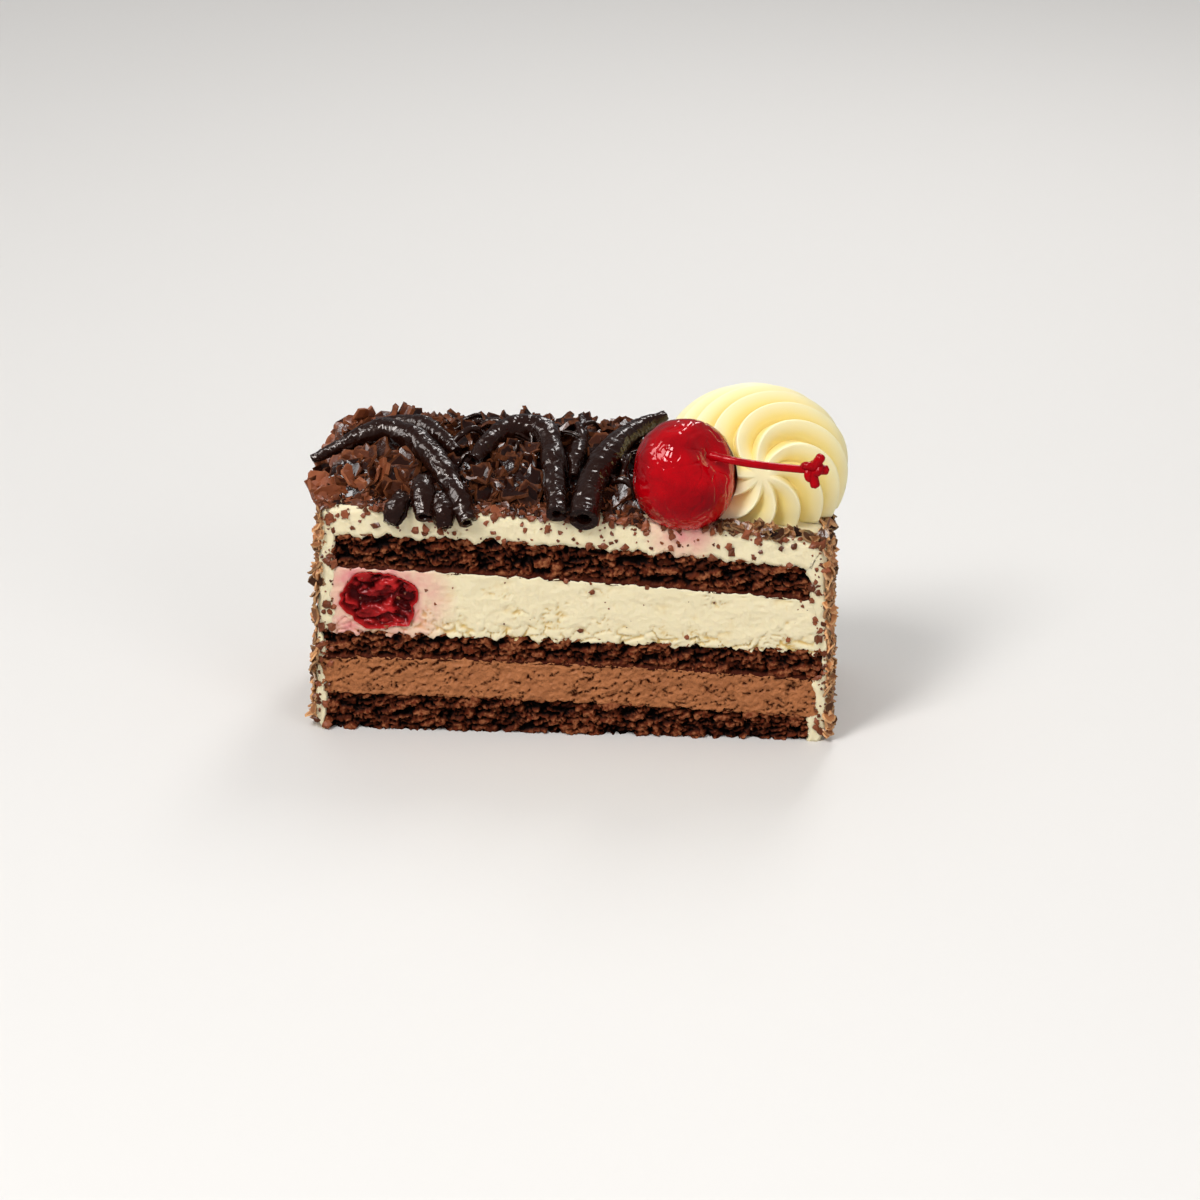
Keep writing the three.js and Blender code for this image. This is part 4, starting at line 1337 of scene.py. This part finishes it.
def swirl_ways(tree):
    """For each point of a unit grid: its share of the way round, its fall from the eye, and its way out."""
    place = put(tree, "GeometryNodeInputPosition")
    u = put(tree, MATH, (put(tree, SEPARATE, [place], out="X"), 0.5), operation="ADD")
    v = put(tree, MATH, (put(tree, SEPARATE, [place], out="Y"), 0.5), operation="ADD")
    fall = put(tree, MATH, (v, math.pi), operation="MULTIPLY")
    sweep = put(tree, MATH, (fall, SWIRL["sweep"]), operation="POWER")
    wind = put(tree, MATH, (sweep, SWIRL["twist"]), operation="MULTIPLY")
    turn = put(tree, MATH, (u, 2 * math.pi, wind), operation="MULTIPLY_ADD")
    sin_fall, cos_fall, sin_turn, cos_turn = (
        put(tree, MATH, [angle], operation=kind) for angle in (fall, turn) for kind in ("SINE", "COSINE"))
    x = put(tree, MATH, (sin_fall, sin_turn), operation="MULTIPLY")
    y = put(tree, MATH, (sin_fall, cos_turn), operation="MULTIPLY")
    ball = put(tree, COMBINE, (x, y, cos_fall))
    eye = Vector(SWIRL["eye"]).normalized()
    axis = Vector((0, 0, 1)).cross(eye).normalized()
    way = put(tree, "ShaderNodeVectorRotate", {"Vector": ball, "Axis": axis, "Angle": math.acos(eye.z)},
              rotation_type="AXIS_ANGLE")
    return u, fall, way


def dome_reach(tree, way):
    """How far the plain dome reaches from its middle in each way."""
    rise = put(tree, SEPARATE, [way], out="Z")
    upper = put(tree, MATH, (rise, 0.0), operation="GREATER_THAN")
    below, above = ROSETTE["below"] * MM, (ROSETTE["tall"] - ROSETTE["belly"]) * MM
    tall = put(tree, RANGE, (upper, 0.0, 1.0, below, above))
    half = put(tree, COMBINE, (ROSETTE["half"][0] * MM, ROSETTE["half"][1] * MM, tall))
    shrunk = put(tree, VECTOR, (way, half), operation="DIVIDE")
    size = put(tree, VECTOR, [shrunk], out="Value", operation="LENGTH")
    return put(tree, MATH, (1.0, size), operation="DIVIDE")


def groove_share(tree, u, fall):
    """How deep the grooves are: 0 on a crest, 1 between two, fading at the eye and far from it."""
    ridge = put(tree, MATH, (u, SWIRL["ridges"]), operation="MULTIPLY")
    phase = put(tree, MATH, [ridge], operation="FRACT")
    climb = put(tree, RANGE, (phase, 0.0, SWIRL["steep"]), interpolation_type="SMOOTHSTEP")
    left = put(tree, RANGE, (phase, SWIRL["steep"], 1.0, 1.0, 0.0))
    slope = put(tree, MATH, (left, 0.8), operation="POWER")
    lobe = put(tree, MATH, (climb, slope), operation="MULTIPLY")
    cut = put(tree, MATH, (1.0, lobe), operation="SUBTRACT")
    near_eye = put(tree, RANGE, (fall, 0.06, 0.5), interpolation_type="SMOOTHSTEP")
    far = put(tree, RANGE, (fall, 1.0, 2.9, 1.0, 0.0))
    fade = put(tree, MATH, (near_eye, far), operation="MULTIPLY")
    return put(tree, MATH, (cut, fade), operation="MULTIPLY")


def seated(tree, dome):
    """The dome's places, pressed aside by the cherry and flat where they sit on the cream."""
    cherry = Vector(CHERRY["middle"]) * MM
    off = put(tree, VECTOR, (dome, cherry), operation="SUBTRACT")
    gap = put(tree, VECTOR, [off], out="Value", operation="LENGTH")
    press = put(tree, MATH, ((CHERRY["radius"] + CHERRY_ROOM) * MM, gap), operation="DIVIDE")
    grow = put(tree, MATH, (press, 1.0), operation="MAXIMUM")
    aside = put(tree, VECTOR, {0: off, "Scale": grow}, operation="SCALE")
    pressed = put(tree, VECTOR, (aside, cherry), operation="ADD")
    x, y, z = put(tree, SEPARATE, [pressed]).node.outputs
    middle, span = ROSETTE["base"][0], 10.0
    slope = (coat_top(middle + span) - coat_top(middle - span)) / (2 * span)
    level = (coat_top(middle) - slope * middle) * MM
    cream = put(tree, MATH, (x, slope, level), operation="MULTIPLY_ADD")
    seat = put(tree, MATH, (z, cream), operation="MAXIMUM")
    return put(tree, COMBINE, (x, y, seat))


def rosette_tree():
    """Pipes a rosette: ridges wind out from the swirl's eye over a dome that is flat below."""
    tree, given = new_tree("Piped rosette", Groove="NodeSocketFloat", Material="NodeSocketMaterial")
    around, up = SWIRL["ridges"] * SWIRL_STEPS[0], SWIRL_STEPS[1]
    grid = put(tree, "GeometryNodeMeshGrid", (1.0, 1.0, around + 1, up + 1))
    u, fall, way = swirl_ways(tree)
    groove = groove_share(tree, u, fall)
    depth = put(tree, MATH, (groove, given["Groove"]), operation="MULTIPLY")
    ridged = put(tree, MATH, (dome_reach(tree, way), depth), operation="SUBTRACT")
    sink = put(tree, RANGE, (fall, 0.0, 0.6, SWIRL["sink"] * MM, 0.0), interpolation_type="SMOOTHSTEP")
    out = put(tree, MATH, (ridged, sink), operation="SUBTRACT")
    away = put(tree, VECTOR, {0: way, "Scale": out}, operation="SCALE")
    x, y = ROSETTE["base"]
    middle = Vector((x, y, coat_top(x) + ROSETTE["belly"])) * MM
    dome = put(tree, VECTOR, (away, middle), operation="ADD")
    marked = put(tree, "GeometryNodeStoreNamedAttribute", {
        "Geometry": grid, "Name": "groove", "Value": groove}, data_type="FLOAT", domain="POINT")
    shaped = put(tree, "GeometryNodeSetPosition", {"Geometry": marked, "Position": seated(tree, dome)})
    closed = put(tree, "GeometryNodeMergeByDistance", {"Geometry": shaped, "Distance": 0.002 * MM})
    rounded = put(tree, "GeometryNodeSetShadeSmooth", [closed])
    return close_tree(tree, rounded, given["Material"])


def rosette_surface(colours):
    """Piped buttery cream: smooth and satin, light glows through it, with painted shade deeper yellow in the
    grooves.
    """
    material, tree, shader = new_surface(
        "Piped cream", Roughness=0.42, Specular_IOR_Level=0.4, Subsurface_Weight=0.35,
        Subsurface_Scale=2.5 * MM, Subsurface_Radius=(1.0, 0.9, 0.6))
    place = put(tree, COORDS, out="Object")
    groove = put(tree, ATTRIBUTE, out="Fac", attribute_name="groove")
    cloud = put(tree, NOISE, {"Vector": place, "Scale": per_mm(6.0), "Detail": 3.0})
    juice_from = (Vector(CHERRY["middle"]) + Vector((7, 5, -6))) * MM
    away = put(tree, VECTOR, (place, juice_from), out="Value", operation="DISTANCE")
    juice = put(tree, RANGE, (away, 10 * MM, 3 * MM, 0.0, 0.7))
    # Deeper yellow with the depth of the grooves: painted shade
    base = layered(
        tree, colours.rosette, (groove, 0.04, 0.6, colours.groove), (juice, 0.0, 1.0, colours.stain))
    bump = put(tree, BUMP, {"Strength": 0.1, "Distance": 0.4 * MM, "Height": cloud})
    feed(tree, shader, {"Base Color": base, "Normal": bump})
    return material


class CAKE_OT_rosette(Operator):
    """Pipe the rosette of cream beside the cherry"""

    bl_idname = "cake.rosette"
    bl_label = "Rosette"

    def execute(self, context):
        material = rosette_surface(context.scene.cake_colours)
        source = new_piece("rosette_start", [(0, 0, 0)], [])
        groove = context.scene.cake_sizes.ridge_depth
        piece = from_tree(source, "rosette_swirl", rosette_tree(), Groove=groove, Material=material)
        settle(piece, "rosette_cream", "rosette")
        return {"FINISHED"}


# The cherry on top

def cherry_piece():
    """A candied cherry: a ball with a deep stem cavity and a skin that has dried into shallow folds."""
    turn_to = Vector((0, 0, 1)).rotation_difference(Vector(CAVITY["faces"]).normalized())
    around, up = 220, 140
    points = []
    for turn, fall in ball_turns(around, up):
        way = Vector((math.sin(fall) * math.cos(turn), math.sin(fall) * math.sin(turn), math.cos(fall)))
        way.rotate(turn_to)
        dent = CAVITY["depth"] * math.exp(-((fall / CAVITY["spread"]) ** 2))
        tall = mix(CHERRY["radius"], CHERRY["tall"], abs(way.z))
        broad = waves(*(way * 1.8 + Vector((5, 1, 3))), 2)
        crease = abs(noise.noise(way * 2.6 + 0.6 * Vector((broad, -broad, broad))))
        skin = 0.3 * broad + 0.16 * smooth(0.0, 0.12, crease) - 0.2
        points.append(Vector(CHERRY["middle"]) + way * (tall - dent + skin))
    return new_piece("cherry_fruit", points, ring_faces(up + 1, around))


def tube(points, radii, sides=14):
    """The points and faces of a closed round tube along a line."""
    rings = []
    side = Vector((0, 0, 1))
    for n, (point, radius) in enumerate(zip(points, radii)):
        ahead = points[min(n + 1, len(points) - 1)] - points[max(n - 1, 0)]
        ahead.normalize()
        side = (side - ahead * side.dot(ahead)).normalized()
        other = side.cross(ahead)
        for k in range(sides):
            turn = 2 * math.pi * k / sides
            rings.append(point + radius * (math.cos(turn) * side + math.sin(turn) * other))
    return rings, ring_faces(len(points), sides, capped=True)


def knot_line(middle):
    """A small trefoil knot about a place."""
    line = []
    for share in shares(STEM_STEPS["knot"]):
        t = 2 * math.pi * share
        line.append(middle + KNOT_SIZE * Vector((
            math.sin(t) + 2 * math.sin(2 * t), -1.3 * math.sin(3 * t), math.cos(t) - 2 * math.cos(2 * t))))
    return line


def stem_piece():
    """The cherry's stem, tied in a small tight knot with its loose ends standing out."""
    middle = Vector(STEM_PATH[-1])
    line = smooth_line(STEM_PATH, STEM_STEPS["stem"])
    flare = [STEM_RADIUS * mix(1.35, 1.0, smooth(0, 0.15, share)) for share in shares(len(line))]
    knot = knot_line(middle)
    tubes = [tube(line, flare), tube(knot, [STEM_RADIUS] * len(knot))]
    taper = [1.05 * (1 - 0.9 * smooth(0.8, 1.0, share) ** 3) for share in shares(STEM_STEPS["tip"])]
    for tip in KNOT_TIPS:
        path = [middle + reach * Vector(tip) for reach in (0, 0.6, 1.15)]
        tubes.append(tube(smooth_line(path, len(taper)), taper))
    points, faces = [], []
    for tube_points, tube_faces in tubes:
        faces += [[len(points) + v for v in face] for face in tube_faces]
        points += tube_points
    return new_piece("cherry_stem_knotted", points, faces)


def cherry_surface(colours):
    """Candied cherry skin: wet and glossy, a clear deep red, with fine dried creases that catch the light."""
    material, tree, shader = new_surface(
        "Candied cherry skin", Roughness=0.06, Specular_IOR_Level=0.5, Specular_Tint=(1.0, 0.4, 0.4, 1.0),
        Coat_Weight=0.4, Coat_Roughness=0.02)
    place = put(tree, COORDS, out="Object")
    cloud = put(tree, NOISE, {"Vector": place, "Scale": per_mm(8.0), "Detail": 2.0})
    fold = put(tree, NOISE, {"Vector": place, "Scale": per_mm(4.2), "Detail": 1.0, "Distortion": 1.4})
    base = layered(tree, colours.cherry, (cloud, 0.3, 0.7, colours.cherry_deep))
    bump = put(tree, BUMP, {"Strength": 0.55, "Distance": 0.6 * MM, "Height": fold})
    feed(tree, shader, {"Base Color": base, "Normal": bump, "Coat Normal": bump})
    return material


def stem_surface(colours):
    """Dyed cherry stem: smooth, wet, a little uneven in its red."""
    material, tree, shader = new_surface(
        "Dyed cherry stem", Roughness=0.15, Specular_IOR_Level=0.4, Specular_Tint=(1.0, 0.5, 0.5, 1.0))
    place = put(tree, COORDS, out="Object")
    cloud = put(tree, NOISE, {"Vector": place, "Scale": per_mm(2.0), "Detail": 3.0})
    base = layered(tree, colours.stem, (cloud, 0.0, 1.0, colours.cherry))
    bump = put(tree, BUMP, {"Strength": 0.2, "Distance": 0.3 * MM, "Height": cloud})
    feed(tree, shader, {"Base Color": base, "Normal": bump})
    return material


class CAKE_OT_cherry(Operator):
    """Set the cherry and its knotted stem on the cream"""

    bl_idname = "cake.cherry"
    bl_label = "Cherry on top"

    def execute(self, context):
        colours = context.scene.cake_colours
        settle(cherry_piece(), "cherry_skin", "cherry", material=cherry_surface(colours))
        settle(stem_piece(), "cherry_skin", "cherry_stem", material=stem_surface(colours))
        return {"FINISHED"}


# The stage

def lay_floor(colours):
    """A wide pale board that isn't mirrored in the glossy pieces."""
    board, _, _ = new_surface("Pale painted board", Base_Color=colours.floor, Roughness=0.6)
    corners = [(x * FLOOR_HALF, y * FLOOR_HALF, 0) for x, y in ((-1, -1), (1, -1), (1, 1), (-1, 1))]
    floor = new_piece("floor", corners, [[0, 1, 2, 3]])
    floor.data.materials.append(board)
    floor.visible_glossy = False


def aim(thing, place, target):
    """Stand a lamp or a camera at a place and turn it to a target."""
    thing.location = Vector(place) * MM
    thing.rotation_euler = (Vector(target) - Vector(place)).to_track_quat("-Z", "Y").to_euler()


def hang_lamps():
    """The studio's square lamps, and an even light from above."""
    for name, (place, size, watts) in LAMPS.items():
        lamp = bpy.data.lights.new(name, "AREA")
        lamp.shape = "RECTANGLE"
        lamp.size, lamp.size_y = (side * MM for side in size)
        lamp.energy = watts
        light = linked(name, lamp)
        light.visible_glossy = name in MIRRORED
        light.visible_diffuse = name != "window"
        aim(light, place, LAMPS_AIM)
    ceiling = bpy.data.lights.new("ceiling", "SUN")
    ceiling.energy = CEILING["strength"]
    ceiling.angle = math.radians(CEILING["spread"])
    linked("ceiling", ceiling).visible_glossy = False


def light_studio(scene):
    """A soft studio, dimmer as a light than it looks behind the floor."""
    world = bpy.data.worlds.new("Soft studio")
    world.use_nodes = True
    tree = world.node_tree
    seen = put(tree, "ShaderNodeLightPath", out="Is Camera Ray")
    strength = put(tree, RANGE, (seen, 0.0, 1.0, STUDIO["light"], STUDIO["seen"]))
    feed(tree, tree.nodes["Background"].inputs, {"Color": STUDIO["colour"], "Strength": strength})
    scene.world = world
    scene.view_settings.view_transform = "Standard"


class CAKE_OT_stage(Operator):
    """Lay the floor, hang the lights and place the camera"""

    bl_idname = "cake.stage"
    bl_label = "Stage"

    def execute(self, context):
        scene = context.scene
        lay_floor(scene.cake_colours)
        hang_lamps()
        light_studio(scene)
        camera = linked("camera", bpy.data.cameras.new("camera"))
        camera.data.sensor_width = CAMERA_SENSOR
        camera.data.lens = CAMERA_LENS
        aim(camera, CAMERA_PLACE, CAMERA_AIM)
        scene.camera = camera
        return {"FINISHED"}


class CAKE_PT_slice(Panel):
    """The slice's pieces, in the order that they are made"""

    bl_label = "Cake slice"
    bl_idname = "CAKE_PT_slice"
    bl_space_type = "VIEW_3D"
    bl_region_type = "UI"
    bl_category = "Cake"

    def draw(self, context):
        for step in STEPS:
            self.layout.operator(step.bl_idname)
        for group in (context.scene.cake_sizes, context.scene.cake_colours):
            for key in group.bl_rna.properties.keys():
                if key not in ("rna_type", "name"):
                    self.layout.prop(group, key)


STEPS = (
    CAKE_OT_layers, CAKE_OT_filling_cherry, CAKE_OT_coat, CAKE_OT_end_shavings, CAKE_OT_heap, CAKE_OT_curls,
    CAKE_OT_rosette, CAKE_OT_cherry, CAKE_OT_crumbs, CAKE_OT_stage)
CLASSES = (CakeSizes, CakeColours, *STEPS, CAKE_PT_slice)


def register():
    for cls in CLASSES:
        bpy.utils.register_class(cls)
    bpy.types.Scene.cake_sizes = PointerProperty(type=CakeSizes)
    bpy.types.Scene.cake_colours = PointerProperty(type=CakeColours)


def unregister():
    del bpy.types.Scene.cake_colours
    del bpy.types.Scene.cake_sizes
    for cls in reversed(CLASSES):
        bpy.utils.unregister_class(cls)


def main():
    register()
    for step in STEPS:
        family, name = step.bl_idname.split(".")
        getattr(getattr(bpy.ops, family), name)()


if __name__ == "__main__":
    main()
